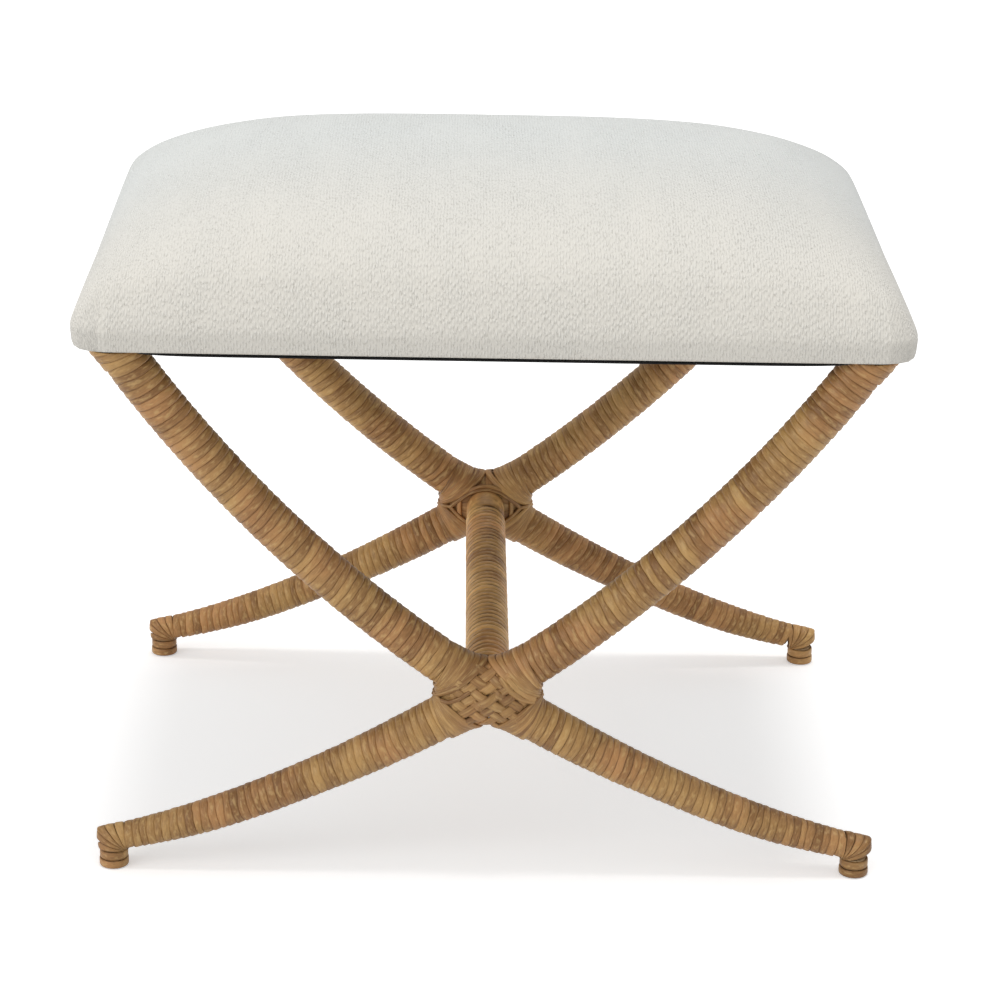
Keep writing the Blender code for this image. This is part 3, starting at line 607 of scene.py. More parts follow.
class ShapeTree(Graph):
    """A Geometry Nodes tree with named inputs, on a chain of points."""

    def __init__(self, name, inputs):
        super().__init__(bpy.data.node_groups.new(name, "GeometryNodeTree"))
        sockets = self.tree.interface
        sockets.new_socket("Path", in_out="INPUT", socket_type="NodeSocketGeometry")
        for label, default in inputs.items():
            kind = SOCKET_KINDS[type(default)]
            socket = sockets.new_socket(label, in_out="INPUT", socket_type=kind)
            if default is not None:
                socket.default_value = default
        sockets.new_socket("Strip", in_out="OUTPUT", socket_type="NodeSocketGeometry")
        self.given = self.add("NodeGroupInput")
        self.path = self.add("GeometryNodeMeshToCurve", None, {0: self.given.also("Path")})

    def value(self, name):
        return self.given.also(name)

    def field(self, name, kind="FLOAT"):
        return self.add("GeometryNodeInputNamedAttribute", {"data_type": kind}, {"Name": name})

    def sample(self, length, values=None, kind="FLOAT"):
        """What the path holds at a length along it."""
        feeds = {"Curves": self.path, "Length": length}
        if values is not None:
            feeds[1] = values
        settings = {"mode": "LENGTH", "data_type": kind}
        return self.add("GeometryNodeSampleCurve", settings, feeds)

    def section(self, stations):
        """A grid whose columns close into a strip's section, and the place in it."""
        values = {"Vertices X": stations + 1, "Vertices Y": SECTION_POINTS + 1}
        rows = self.add("GeometryNodeMeshGrid", None, values)
        index = self.add("GeometryNodeInputIndex")
        column = self.math("MODULO", index, SECTION_POINTS + 1)
        station = (index - column) / (SECTION_POINTS + 1)
        turn = column * (2 * math.pi / SECTION_POINTS)
        level = self.math("SINE", turn)
        reach = self.math("COSINE", turn)
        across = self.math("SIGN", reach) * self.math("ABSOLUTE", reach) ** SECTION_SQUARENESS
        rise = self.math("MAXIMUM", level, 0.0) ** SECTION_FLATNESS
        ends = self.math("MINIMUM", station, stations - station)
        return rows, station, across, rise, self.clamp(ends * STRIP_END_STEP)

    def close(self, rows, position, along, across, lot):
        """Puts the grid in place, marks it for its finish and ends the tree."""
        values = {"Geometry": rows, "Position": position}
        geometry = self.add("GeometryNodeSetPosition", None, values)
        for name, value in (("along", along), ("across", across), ("lot", lot)):
            settings = {"data_type": "FLOAT", "domain": "POINT"}
            values = {"Geometry": geometry, "Name": name, "Value": value}
            geometry = self.add("GeometryNodeStoreNamedAttribute", settings, values)
        for kind, values in (
            ("GeometryNodeMergeByDistance", {"Distance": MERGE_DISTANCE}),
            ("GeometryNodeSetShadeSmooth", {"Shade Smooth": True}),
            ("GeometryNodeRealizeInstances", {}),
            ("GeometryNodeSetMaterial", {"Material": self.value("Finish")}),
        ):
            geometry = self.add(kind, None, {"Geometry": geometry, **values})
        node = self.tree.nodes.new("NodeGroupOutput")
        self.tree.links.new(geometry.socket, node.inputs[0])
        node.location = (220 * (self.depth[geometry.socket.node.name] + 1), 0)


def winding_tree():
    """A cane strip wound round the path; neighbouring turns lap a little."""
    tree = ShapeTree(
        "cane_winding",
        {
            "Turns": 40.0, "Climb": 1.0, "Points per Turn": POINTS_PER_TURN, "Hand": 1.0,
            "Thickness": 0.0012, "Crown": 0.0005, "Fill": 1.0, "Wander": 0.8,
            "Shingle": 0.0003, "Seed": 0.0, "Finish": None,
        },
    )
    turns = tree.value("Turns")
    per_turn = tree.value("Points per Turn")
    rows, station, across, rise, opening = tree.section(tree.math("ROUND", turns * per_turn))
    wound = station / per_turn
    angle = wound * tree.value("Hand") * (2 * math.pi)
    cosine = tree.math("COSINE", angle)
    sine = tree.math("SINE", angle)
    seed = tree.value("Seed")
    lot = wound * 1.3 + seed * 7.0

    loose = tree.noise_at(wound * 0.45, seed * 3.0, 8.0, 1.0)
    fill = tree.clamp(tree.value("Fill") + (loose - 0.5) * 0.20, 0.5, 1.14)
    climb = tree.value("Climb")
    lane = wound * climb + 0.5 + across * opening * fill * 0.5
    whole = turns * climb + 1.0
    spread = tree.clamp(tree.math("MINIMUM", lane, whole - lane))
    drift = tree.noise_at(cosine * 0.55, sine * 0.55, lane * 0.62 + seed * 5.0, 2.0)
    lane_at = (lane + (drift - 0.5) * spread * tree.value("Wander")) / whole
    total = tree.add("GeometryNodeCurveLength", None, {0: tree.path})
    level = lane_at * total

    radius = tree.sample(level, tree.field("reach"))
    slant = tree.sample(level, tree.field("slant"))
    shifted = tree.clamp(level + slant * radius * cosine, 0.0, total)
    spot = tree.sample(shifted, tree.field("facing", "FLOAT_VECTOR"), "FLOAT_VECTOR")
    wide = tree.sample(shifted, tree.field("wide"))
    side = tree.vector("NORMALIZE", tree.vector("CROSS_PRODUCT", spot.also("Tangent"), spot))
    lift = tree.noise_at(wound * 0.9, seed * 2.0, 1.0, 1.0)
    tilt = tree.noise_at(wound * 0.55, seed * 4.0, 5.0, 1.0)
    arch = tree.noise_at(wound * 0.7, seed * 6.0, 3.0, 1.0)
    bow = 1.0 - across * across
    body = tree.value("Thickness") + bow * tree.value("Crown") * (arch * 1.8 + 0.1)
    body = body + ((lift - 0.5) * 2.0 + across * tilt * 2.0) * tree.value("Shingle")
    height = radius + rise * opening * body
    out = tree.vector("SCALE", spot, None, cosine * height)
    up = tree.vector("SCALE", side, None, sine * height * wide)
    position = tree.vector("ADD", spot.also("Position"), tree.vector("ADD", out, up))
    tree.close(rows, position, wound * 0.105, across, lot)
    return tree.tree


def strip_tree():
    """A single cane strip laid along the path, facing as its points say."""
    tree = ShapeTree(
        "cane_strip",
        {
            "Stations": 60, "Breadth": 0.006, "Thickness": 0.0012, "Crown": 0.0004,
            "Lot": 0.0, "Finish": None,
        },
    )
    stations = tree.value("Stations") * 1.0
    rows, station, across, rise, opening = tree.section(stations)
    total = tree.add("GeometryNodeCurveLength", None, {0: tree.path})
    length = station / stations * total
    spot = tree.sample(length, tree.field("facing", "FLOAT_VECTOR"), "FLOAT_VECTOR")
    wide = tree.sample(length, tree.field("wide"))
    facing = tree.vector("NORMALIZE", spot)
    side = tree.vector("NORMALIZE", tree.vector("CROSS_PRODUCT", spot.also("Tangent"), facing))
    ragged = tree.noise_at(length * 70.0, tree.value("Lot"), 0.0, 1.0)
    half = tree.value("Breadth") * opening * wide * (0.42 + ragged * 0.16)
    bow = 1.0 - across * across
    height = rise * opening * (tree.value("Thickness") + bow * tree.value("Crown"))
    out = tree.vector("SCALE", facing, None, height)
    along = tree.vector("SCALE", side, None, across * half)
    position = tree.vector("ADD", spot.also("Position"), tree.vector("ADD", out, along))
    tree.close(rows, position, length, across, tree.value("Lot") + length * 4.0)
    return tree.tree


def shape_mesh(chain, tree, inputs):
    """Runs a node tree on a chain and returns the plain mesh that comes out."""
    modifier = chain.modifiers.new("shape", "NODES")
    modifier.node_group = tree
    for socket in tree.interface.items_tree:
        if socket.in_out == "INPUT" and socket.name in inputs:
            modifier[socket.identifier] = inputs[socket.name]
    depsgraph = bpy.context.evaluated_depsgraph_get()
    depsgraph.update()
    mesh = bpy.data.meshes.new_from_object(
        chain.evaluated_get(depsgraph), preserve_all_data_layers=True, depsgraph=depsgraph
    )
    source = chain.data
    bpy.data.objects.remove(chain, do_unlink=True)
    bpy.data.meshes.remove(source)
    return mesh


def close_mesh(meshes, name, finish, trims=()):
    """Joins meshes, cuts them level where asked, closes them and turns their faces outwards."""
    bm = bmesh.new()
    for mesh in meshes:
        bm.from_mesh(mesh)
    for height, way in trims:
        bmesh.ops.bisect_plane(
            bm, geom=bm.verts[:] + bm.edges[:] + bm.faces[:], dist=0.0000001,
            plane_co=(0, 0, height), plane_no=(0, 0, way), clear_outer=True,
        )
    edges = [edge for edge in bm.edges if edge.is_boundary]
    if edges:
        bmesh.ops.holes_fill(bm, edges=edges, sides=0)
    bmesh.ops.dissolve_degenerate(bm, dist=0.000001, edges=bm.edges)
    made = plain_mesh(bm, name)
    for mesh in meshes:
        bpy.data.meshes.remove(mesh)
    made.materials.append(cane_finish(finish))
    for face in made.polygons:
        face.material_index = 0
        face.use_smooth = True
    return made


def show_piece(name, mesh, stands_for):
    """Adds a finished piece that rides with the bench and stands for a CAD node."""
    item = link_object(name, mesh)
    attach(item, "root")
    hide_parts(stands_for)
    return item


def node_tree(name, maker):
    found = bpy.data.node_groups.get(name)
    return found or maker()


def cane_finish(name="cane_front"):
    found = bpy.data.materials.get(name)
    return found or cane_material(name, bpy.context.scene.bench_cane)


def steady(value):
    """The same value at every distance."""
    return lambda distance: value


def wind(
    route, start, stop, radius, turns, seed, slant=steady(0.0), wide=steady(1.0),
    finish="cane_front", **changes,
):
    """A winding round a stretch of a route."""
    settings = bpy.context.scene.bench_cane
    count = max(int((stop - start) / CHAIN_STEP), 12)
    stops = np.linspace(start, stop, count + 1)
    chain = chain_object(
        [route.at(stop) for stop in stops],
        reach=[radius(stop) for stop in stops],
        slant=[slant(stop) for stop in stops],
        wide=[wide(stop) for stop in stops],
        facing=np.array([route.heading(stop)[1] for stop in stops]),
    )
    inputs = {
        "Turns": float(turns),
        "Thickness": settings.thickness,
        "Crown": settings.crown,
        "Wander": settings.wander,
        "Seed": float(seed),
        "Finish": cane_finish(finish),
    }
    inputs.update({key: float(value) for key, value in changes.items()})
    return shape_mesh(chain, node_tree("cane_winding", winding_tree), inputs)


def lay_strip(points, facings, breadth, lot, wide=None, thickness=0.0012):
    """A single strip along points, each with the way it faces."""
    wide = [1.0] * len(points) if wide is None else wide
    chain = chain_object(points, facing=np.array(facings, float), wide=wide)
    inputs = {
        "Stations": max(int(len(points) * 1.2), 16),
        "Breadth": breadth,
        "Thickness": thickness,
        "Lot": float(lot),
        "Finish": cane_finish(),
    }
    return shape_mesh(chain, node_tree("cane_strip", strip_tree), inputs)


def foot_share(distance):
    """0 along most of a pole, and 1 near its foot, where the wrap is thicker."""
    share = np.clip((distance - POLE.length + 0.19) / 0.12, 0, 1)
    return share * share * (3 - 2 * share)


def leg_route(mirror, end):
    """A wrap's centre line: the pole's, led on above it and a little lower at the foot."""
    points = np.array(pole_points(mirror, end * HALF_SPACING))
    lead = (points[0] - points[1]) / np.linalg.norm(points[0] - points[1])
    ahead = [points[0] + lead * step for step in np.linspace(LEAD_IN, 0.001, 12)]
    points[:, 2] -= FOOT_DROP * foot_share(POLE.lengths)
    return Route([*ahead, *points], (0, mirror, 0))


def wrap_lean(lean, twist):
    """How far the turns lean along the leg: most near the seat, towards level."""

    def slant(distance):
        share = np.clip((LEAD_IN + LEAN_LENGTH - distance) / LEAN_LENGTH, 0, 1)
        return lean * share**1.3 + twist

    return slant


def wrap_radius(distance):
    """Where a leg wrap's underside lies, a little wider against the seat and at the foot."""
    flare = WRAP_FLARE * np.clip((LEAD_IN + FLARE_LENGTH - distance) / FLARE_LENGTH, 0, 1) ** 1.5
    swell = FOOT_SWELL * foot_share(distance - LEAD_IN)
    return pole_radius(distance - LEAD_IN) + WRAP_CLEARANCE + flare + swell


def wind_leg(leg, start, stop, turns, seed):
    """A stretch of a leg's winding."""
    row, end, side, mirror = leg
    hand, lean, twist = WRAP_WAYS[row, side]
    return wind(
        leg_route(mirror, end), start, stop, wrap_radius, turns, seed,
        wrap_lean(lean, twist), Hand=hand, Fill=1.10, Shingle=0.00042,
    )


def arm_gap(x, z):
    """Distance in the frame's plane to the nearer pole, eased where the poles meet."""
    near = sorted(abs(z * math.cos(SLOPE) + way * x * math.sin(SLOPE)) for way in (1, -1))
    blend = max(1 - (near[1] - near[0]) / KNOT_EASE, 0)
    return near[0] - blend**2 * KNOT_EASE / 4


def knot_depth(x, z, radius, bulge):
    """Depth from the frame's plane to the bound surface over a crossing."""
    gap = arm_gap(x, z)
    rise = 1 - (1 - min(max(-4 * gap / KNOT_EASE, 0), 1)) ** 2
    return math.sqrt(max(radius**2 - max(gap, 0) ** 2, 0)) + bulge * rise


def knot_normal(x, z, depth):
    step = 0.0003
    gap = max(arm_gap(x, z), 0)
    tilt_x = gap * (arm_gap(x + step, z) - arm_gap(x - step, z)) / (2 * step)
    tilt_z = gap * (arm_gap(x, z + step) - arm_gap(x, z - step)) / (2 * step)
    normal = np.array([tilt_x, depth, tilt_z])
    return normal / max(np.linalg.norm(normal), 1e-9)


def knot_edge(spot, way, radius):
    """How far it is from a spot inside the knot to its outline."""
    low, high = 0.0, 0.0
    while arm_gap(*(spot + way * high)) < radius and high < 0.08:
        low, high = high, high + 0.0005
    for _ in range(12):
        middle = (low + high) / 2
        if arm_gap(*(spot + way * middle)) < radius:
            low = middle
        else:
            high = middle
    return low


def fan_loop(y, outward, pivot, angle, lift, lot):
    """A strip taut round one arm, pinched where it passes the crotch at the pivot."""
    way = np.array([math.cos(angle), math.sin(angle)])
    radius = POLE_RADIUS + lift
    spot = np.array(pivot) + way * FAN_START
    near = spot - way * knot_edge(spot, -way, radius)
    far = spot + way * knot_edge(spot, way, radius)
    points = []
    facings = []
    wide = []
    for turn in np.linspace(0, 2 * math.pi * FAN_OVERLAP, FAN_POINTS):
        share = (1 - math.cos(turn)) / 2
        x, z = near + (far - near) * share
        face = 1 if math.sin(turn) >= 0 else -1
        bulge = KNOT_BULGE * 0.5 if face > 0 else 0.0
        depth = knot_depth(x, z, radius, bulge) * min(1.0, abs(math.sin(turn)) * 6)
        points.append((x, y + outward * face * depth, CROSSING_HEIGHT + z))
        facings.append(knot_normal(x, z, outward * face * depth))
        wide.append(FAN_PINCH + (1 - FAN_PINCH) * min(share / 0.45, 1) ** 0.8)
    return lay_strip(points, facings, FAN_BREADTH, lot, wide)


def fan_strips(y, outward, seed):
    """Strips that fan from the left and right crotches over all four arms."""
    rng = np.random.default_rng(seed)
    made = []
    for side in (1, -1):
        for half in (1, -1):
            for number in range(FAN_STRIPS):
                share = number / (FAN_STRIPS - 1)
                lean = math.pi - (FAN_ANGLES[0] + (FAN_ANGLES[1] - FAN_ANGLES[0]) * share)
                way = lean if side > 0 else math.pi - lean
                angle = (way if half > 0 else -way) + rng.uniform(-FAN_JITTER, FAN_JITTER)
                slip = CROTCH_SPREAD * (1 - share)
                pivot = (side * (CROTCH[0] + slip), CROTCH[1] + half * slip)
                lift = FAN_LIFT + FAN_LIFT_STEP * number
                lot = seed + 17 * (side + 2) + 5 * half + number * 2.3
                made.append(fan_loop(y, outward, pivot, angle, lift, lot))
    return made


def over_knot(y, face, spots, lifts, bulge):
    """Points over the knot at spots in the frame's plane, and the way that each faces."""
    points = []
    facings = []
    for (x, z), lift in zip(spots, lifts):
        depth = knot_depth(x, z, POLE_RADIUS + lift, bulge)
        points.append((x, y + face * depth, CROSSING_HEIGHT + z))
        facings.append(knot_normal(x, z, face * depth))
    return points, facings


def surface_strip(y, face, spots, lift, breadth, lot, bulge=0.0):
    """A strip over the knot's face along spots in the frame's plane."""
    points, facings = over_knot(y, face, spots, [lift] * len(spots), bulge)
    return lay_strip(points, facings, breadth, lot, None, GROUND_THICKNESS)


def plait_strips(y, outward, seed):
    """Two families of strips that pass over and under each other on the outer face."""
    rng = np.random.default_rng(seed)
    made = []
    repeat = PLAIT_PITCH / math.sin(2 * DIAMOND_ANGLE)
    for family, turn in ((0, DIAMOND_ANGLE), (1, -DIAMOND_ANGLE)):
        way = np.array([math.cos(turn), math.sin(turn)])
        aside = np.array([-way[1], way[0]])
        for number in range(-2, 3):
            offset = number * PLAIT_PITCH
            reach = PLAIT_REACH - abs(offset) * PLAIT_TAPER
            shift = rng.uniform(-0.0005, 0.0005)
            slide = offset / math.tan(2 * DIAMOND_ANGLE) * (1 if family else -1)
            runs = np.linspace(-reach, reach, PLAIT_POINTS)
            spots = [way * run + aside * (offset + shift) for run in runs]
            phases = [(run - slide) / repeat + number + family for run in runs]
            lifts = [PLAIT_LIFT + PLAIT_WAVE * math.cos(math.pi * phase) for phase in phases]
            points, facings = over_knot(y, outward, spots, lifts, KNOT_BULGE)
            lot = 30 * family + number * 3.1 + seed
            made.append(lay_strip(points, facings, PLAIT_BREADTH, lot))
    return made


def bend(spots, count=40):
    """Even points on a smooth line through a few spots."""
    spots = np.array(spots, float)
    steps = np.concatenate(([0.0], np.cumsum(np.linalg.norm(np.diff(spots, axis=0), axis=1))))
    stops = np.linspace(0, steps[-1], count)
    made = np.stack([np.interp(stops, steps, spots[:, k]) for k in range(spots.shape[1])], 1)
    for _ in range(6):
        made[1:-1] = (made[:-2] + 2 * made[1:-1] + made[2:]) / 4
    return made


def edge_strips(y, outward, seed):
    """Rolled strips that edge the smooth patch beside the plait."""
    made = []
    for number, (spots, breadth, lift) in enumerate(EDGE_STRIPS):
        lot = seed + 7.7 * number
        made.append(surface_strip(y, outward, bend(spots), lift, breadth, lot, KNOT_BULGE))
    return made


def under_strips(y, seed):
    """Broad strips from crotch to crotch that close the ground under plait and fans."""
    made = []
    for face in (1, -1):
        for number, z in enumerate((-0.0075, 0.0, 0.0075)):
            spots = bend([(-0.0360, 0.0), (-0.024, z), (0.0, z * 1.3), (0.024, z), (0.0360, 0.0)])
            lot = seed + 3.3 * number + 9 * face
            made.append(surface_strip(y, face, spots, 0.0010, GROUND_BREADTH, lot))
        for number, x in enumerate((-0.005, 0.005)):
            upper = [(x * 0.5, 0.0262), (x, 0.012), (x * 1.3, 0.0)]
            spots = bend([*upper, (x * 1.3, -0.015), (x * 1.5, -0.0268)])
            lot = seed + 21 + 3 * number
            made.append(surface_strip(y, face, spots, 0.0012, GROUND_BREADTH, lot))
    return made


def arch_strips(y, inward, seed):
    """Narrow strips from crotch to crotch over the stretcher's root, and short uprights."""
    made = []
    for number, (rise, fore) in enumerate(ARCHES):
        for half in (1, -1):
            points = []
            facings = []
            for share in np.linspace(-1, 1, ARCH_POINTS):
                x = ARCH_REACH * share
                hump = math.cos(min(abs(x) / ARCH_HUMP, 1) * math.pi / 2) ** 0.9
                z = half * (-0.001 * half + (rise + 0.001) * hump * (1 if half > 0 else 0.94))
                over = ARCH_DEPTH * (1 - min(abs(x) / ARCH_DEPTH_REACH, 1) ** 3)
                depth = max(knot_depth(x, z, POLE_RADIUS + 0.0036, 0.0), over) + fore
                depth = max(depth, ARCH_LEAST_DEPTH)
                lean = np.array([0.30 * share, inward, 0.55 * half * hump])
                points.append((x, y + inward * depth, CROSSING_HEIGHT + z))
                facings.append(lean / np.linalg.norm(lean))
            lot = seed + number * 5.7 + half
            made.append(lay_strip(points, facings, ARCH_BREADTH, lot, None, ARCH_THICKNESS))
    for number, x in enumerate((-0.0225, 0.0225)):
        spots = [(x, z) for z in np.linspace(0.010, -0.012, 20)]
        made.append(surface_strip(y, inward, spots, 0.0030, 0.0042, seed + 40 + number))
    return made


def knot_strips(end, seed):
    """All strips of one crossing: fans about its crotches, the plait and the arches."""
    y = end * HALF_SPACING
    return [
        *under_strips(y, seed + 80),
        *fan_strips(y, end, seed),
        *plait_strips(y, end, seed),
        *edge_strips(y, end, seed + 60),
        *arch_strips(y, -end, seed + 100),
    ]


def elbow_reach(turn):
    """Length from the elbow's inner corner to its outside, at an angle."""
    fall = math.tan(ELBOW_FALL)
    across = ELBOW_END - ELBOW_CORNER[0]
    top = (ELBOW_TOP - ELBOW_CORNER[1] + across * fall) / (math.sin(turn) + math.cos(turn) * fall)
    if math.cos(turn) < 0.05:
        return top
    out = across / math.cos(turn)
    blend = max(1 - abs(top - out) / ELBOW_ROUND, 0)
    return min(top, out) - blend**2 * ELBOW_ROUND / 4


def elbow_route(mirror, end):
    """Centres of the turns that fan round the elbow, and each one's half length."""
    points = []
    facings = []
    halves = []
    for turn in np.linspace(ELBOW_START, 0, 60):
        half = elbow_reach(turn) / 2
        way = np.array([math.cos(turn), math.sin(turn)])
        x, z = np.array(ELBOW_CORNER) + way * half
        points.append((mirror * x, end * HALF_SPACING, z))
        facings.append((mirror * way[0], 0, way[1]))
        halves.append(half)
    return Route(points, (0, mirror, 0), facings), halves


def seat_reach(along, half_along, half_across, radius):
    past = np.abs(along) - (half_along - radius)
    inside = np.sqrt(np.maximum(radius**2 - np.maximum(past, 0) ** 2, 0))
    return np.where(past <= 0, half_across, half_across - radius + inside)


def crown_height(x, y, inset):
    half_x = HALF_WIDTH - inset
    half_y = HALF_DEPTH - inset
    radius = CORNER_RADIUS - inset
    share_x = np.minimum(np.abs(x) / seat_reach(y, half_y, half_x, radius), 1)
    share_y = np.minimum(np.abs(y) / seat_reach(x, half_x, half_y, radius), 1)
    fall_x = (1 - share_x**CROWN_POWER) ** CROWN_FULLNESS
    fall_y = (1 - share_y**CROWN_POWER) ** CROWN_FULLNESS
    hold = np.maximum(fall_x, 0.001) ** -CROWN_HOLD + np.maximum(fall_y, 0.001) ** -CROWN_HOLD
    return CROWN_RISE * (hold - 1) ** (-1 / CROWN_HOLD)


def even_shares(half, reach, cells):
    """Shares of the way to the net's rim at even lengths over the crown, and those lengths."""
    runs = np.linspace(0, reach, 3000)
    fall = CROWN_RISE * (1 - runs**CROWN_POWER) ** CROWN_FULLNESS
    arc = np.concatenate(([0.0], np.cumsum(np.hypot(np.diff(runs * half), np.diff(fall)))))
    lengths = np.linspace(0, arc[-1], cells + 1)
    shares = np.interp(lengths, arc, runs) / reach
    return np.concatenate((-shares[:0:-1], shares)), np.concatenate((-lengths[:0:-1], lengths))


def seat_net(name, inset, sink, cell, bottom, hem=()):
    """A net of squares over the seat: crown, shoulder, band and a fold under its edge.

    A hem runs on under the seat and leaves the middle open; without one the net is closed.
    Each point keeps its place in the flat cloth.
    """
    crown_rim = SHOULDER_INSET + inset
    rim = SHOULDER_REACH + inset
    crown_halves = np.array([HALF_WIDTH - crown_rim, HALF_DEPTH - crown_rim])
    halves = np.array([HALF_WIDTH - rim, HALF_DEPTH - rim])
    radius = max(CORNER_RADIUS - rim, 0.002)
    lines = []
    for crown_half, half in zip(crown_halves, halves):
        lines.append(even_shares(crown_half, half / crown_half, round((half + CROWN_EXTRA) / cell)))
    (share_x, weft), (share_y, warp) = lines

    def height_at(x, y):
        return BAND_TOP - sink + float(crown_height(x, y, crown_rim))

    bm = bmesh.new()
    layers = [bm.verts.layers.float.new(key) for key in ("weft", "warp")]
    grid = {}
    outer = {}
    last_i, last_j = len(share_x) - 1, len(share_y) - 1
    for i, across in enumerate(share_x):
        for j, deep in enumerate(share_y):
            spot = np.array([across, deep]) * halves
            past = (np.abs(spot) - (halves - radius)) / radius
            way = np.where(past > 0.9999, 1.0, 0.0)
            if past.min() > 0:
                way = past * np.sqrt(1 - past[::-1] ** 2 / 2)
                spot = np.sign(spot) * (halves - radius + way * radius)
            x, y = spot
            vert = bm.verts.new((x, y, height_at(x, y)))
            vert[layers[0]] = weft[i]
            vert[layers[1]] = warp[j]
            grid[i, j] = vert
            if i in (0, last_i) or j in (0, last_j):
                way = way * np.sign(spot)
                way /= (np.abs(way) ** CORNER_POWER).sum() ** (1 / CORNER_POWER)
                rise = (height_at(*(spot - way * SLOPE_STEP)) - vert.co.z) / SLOPE_STEP
                outer[i, j] = (spot, way, vert.co.z, math.atan(rise))
    for i in range(last_i):
        for j in range(last_j):
            bm.faces.new((grid[i, j], grid[i + 1, j], grid[i + 1, j + 1], grid[i, j + 1]))
    around = [(i, 0) for i in range(last_i)] + [(last_i, j) for j in range(last_j)]
    around += [(i, last_j) for i in range(last_i, 0, -1)] + [(0, j) for j in range(last_j, 0, -1)]

    waist = BAND_TOP - SHOULDER_DROP
    rows = []
    for share in np.linspace(1, 0, SHOULDER_STEPS)[1:]:
        row = []
        for key in around:
            spot, _, top, slope = outer[key]
            rear = np.clip((spot[1] - FULLER_FROM) / FULLER_OVER, 0, 1)
            full = FRONT_FULLNESS + REAR_FULLER * rear
            pull = full * math.hypot(SHOULDER_REACH, top - waist)
            start, stop = share**2 * (3 - 2 * share), share**2 * (share - 1)
            first = share * (1 - share) ** 2
            drawn = start * SHOULDER_REACH + stop * pull * math.cos(slope)
            height = waist + start * (top - waist) + first * pull + stop * pull * math.sin(slope)
            row.append((drawn, height))
        rows.append(row)
    levels = []
    for height in (*BAND_LEVELS, bottom + FOLD_RADIUS):
        levels.append((BAND_BULGE * (waist - height) / BULGE_HEIGHT, height))
    for angle in np.radians(FOLD_ANGLES):
        drawn = BAND_BULGE + FOLD_RADIUS * (1 - math.cos(angle))
        levels.append((drawn, bottom + FOLD_RADIUS * (1 - math.sin(angle))))
    levels += [(drawn, bottom + 0.0002) for drawn in hem]
    rows += [[level] * len(around) for level in levels]

    upper = [grid[key] for key in around]
    before = [(SHOULDER_REACH, outer[key][2]) for key in around]
    drops = np.zeros(len(around))
    for row in rows:
        lower = []
        for k, (key, (drawn, height)) in enumerate(zip(around, row)):
            spot, way, _, _ = outer[key]
            drops[k] += math.hypot(drawn - before[k][0], height - before[k][1])
            x, y = spot + way * (rim - drawn - inset)
            vert = bm.verts.new((x, y, height))
            vert[layers[0]] = weft[key[0]] + way[0] * drops[k]
            vert[layers[1]] = warp[key[1]] + way[1] * drops[k]
            lower.append(vert)
        before = row
        for k in range(len(upper)):
            after = (k + 1) % len(upper)
            bm.faces.new((upper[k], lower[k], lower[after], upper[after]))
        upper = lower
    if not hem:
        bm.faces.new(upper)
    return plain_mesh(bm, name)


def spread_evenly(mesh, values, rounds):
    """Averages a value over each point's neighbours, several times over."""
    ends = np.zeros(len(mesh.edges) * 2, np.int32)
    mesh.edges.foreach_get("vertices", ends)
    first, second = ends.reshape(-1, 2).T
    count = np.bincount(ends, minlength=len(values))
    for _ in range(rounds):
        total = np.bincount(first, values[second], len(values))
        total += np.bincount(second, values[first], len(values))
        values = (values + total / count) / 2
    return values


def read_points(mesh, name):
    """A place or direction of every point of a mesh, as rows."""
    values = np.zeros(len(mesh.vertices) * 3, np.float32)
    mesh.vertices.foreach_get(name, values)
    return values.reshape(-1, 3)


def puff(item, pressure, cap, frames):
    """Swells the cover with cloth pressure, its fold and hem held, and caps how far it moves."""
    scene = bpy.context.scene
    mesh = item.data
    rest = read_points(mesh, "co")
    held = item.vertex_groups.new(name="held")
    low = [int(k) for k in np.nonzero(rest[:, 2] < HEM_BOTTOM + FOLD_RADIUS + 0.0005)[0]]
    held.add(low, 1.0, "REPLACE")
    cloth = item.modifiers.new("cloth", "CLOTH")
    cloth.settings.quality = 5
    cloth.settings.use_pressure = True
    cloth.settings.uniform_pressure_force = pressure
    cloth.settings.vertex_group_mass = "held"
    cloth.settings.pin_stiffness = 1.0
    cloth.settings.effector_weights.gravity = 0.0
    cloth.point_cache.frame_start = 1
    cloth.point_cache.frame_end = frames
    for step in range(1, frames + 1):
        scene.frame_set(step)
    depsgraph = bpy.context.evaluated_depsgraph_get()
    swollen = bpy.data.meshes.new_from_object(item.evaluated_get(depsgraph))
    item.modifiers.remove(cloth)
    scene.frame_set(1)
    normals = read_points(mesh, "normal")
    swell = ((read_points(swollen, "co") - rest) * normals).sum(axis=1)
    swell = spread_evenly(mesh, np.clip(swell, 0.0, cap), SWELL_ROUNDS)
    item.vertex_groups.clear()
    mesh.vertices.foreach_set("co", (rest + normals * swell[:, None]).astype(np.float32).ravel())
    mesh.update()
    bpy.data.meshes.remove(swollen)


def lining_point(x, y):
    """Where a point of the lining lies, from how far it is towards each edge."""
    corner = max(abs(x) - 0.85, 0) * max(abs(y) - 0.85, 0) / 0.0225
    pull = 1 - LINING_CORNER_PULL * corner
    rim = max(abs(x), abs(y))
    pucker = math.sin(58 * x) * math.sin(47 * y) * max(rim - 0.8, 0) * 0.0009
    sag = LINING_SAG * max(1 - (x / 0.72) ** 2, 0) * max(1 - (y / 0.72) ** 2, 0)
    # The lining hangs lower and reaches further out along the front and back edges, so that its
    # black edge shows as a thin dark line under the hem. That line is partly the lining's own edge
    # and partly painted shade under the hem.
    free = max(1 - abs(x / 0.89) ** 14, 0)
    hang = LINING_HANG * free * max((abs(y) - 0.90) / 0.10, 0)
    half_x = HALF_WIDTH - LINING_MARGIN
    half_y = HALF_DEPTH - LINING_MARGIN + LINING_STRETCH * free
    level = LINING_TOP - LINING_THICKNESS - 0.0001 - sag - hang - abs(pucker)
    return x * half_x * pull, y * half_y * pull, level


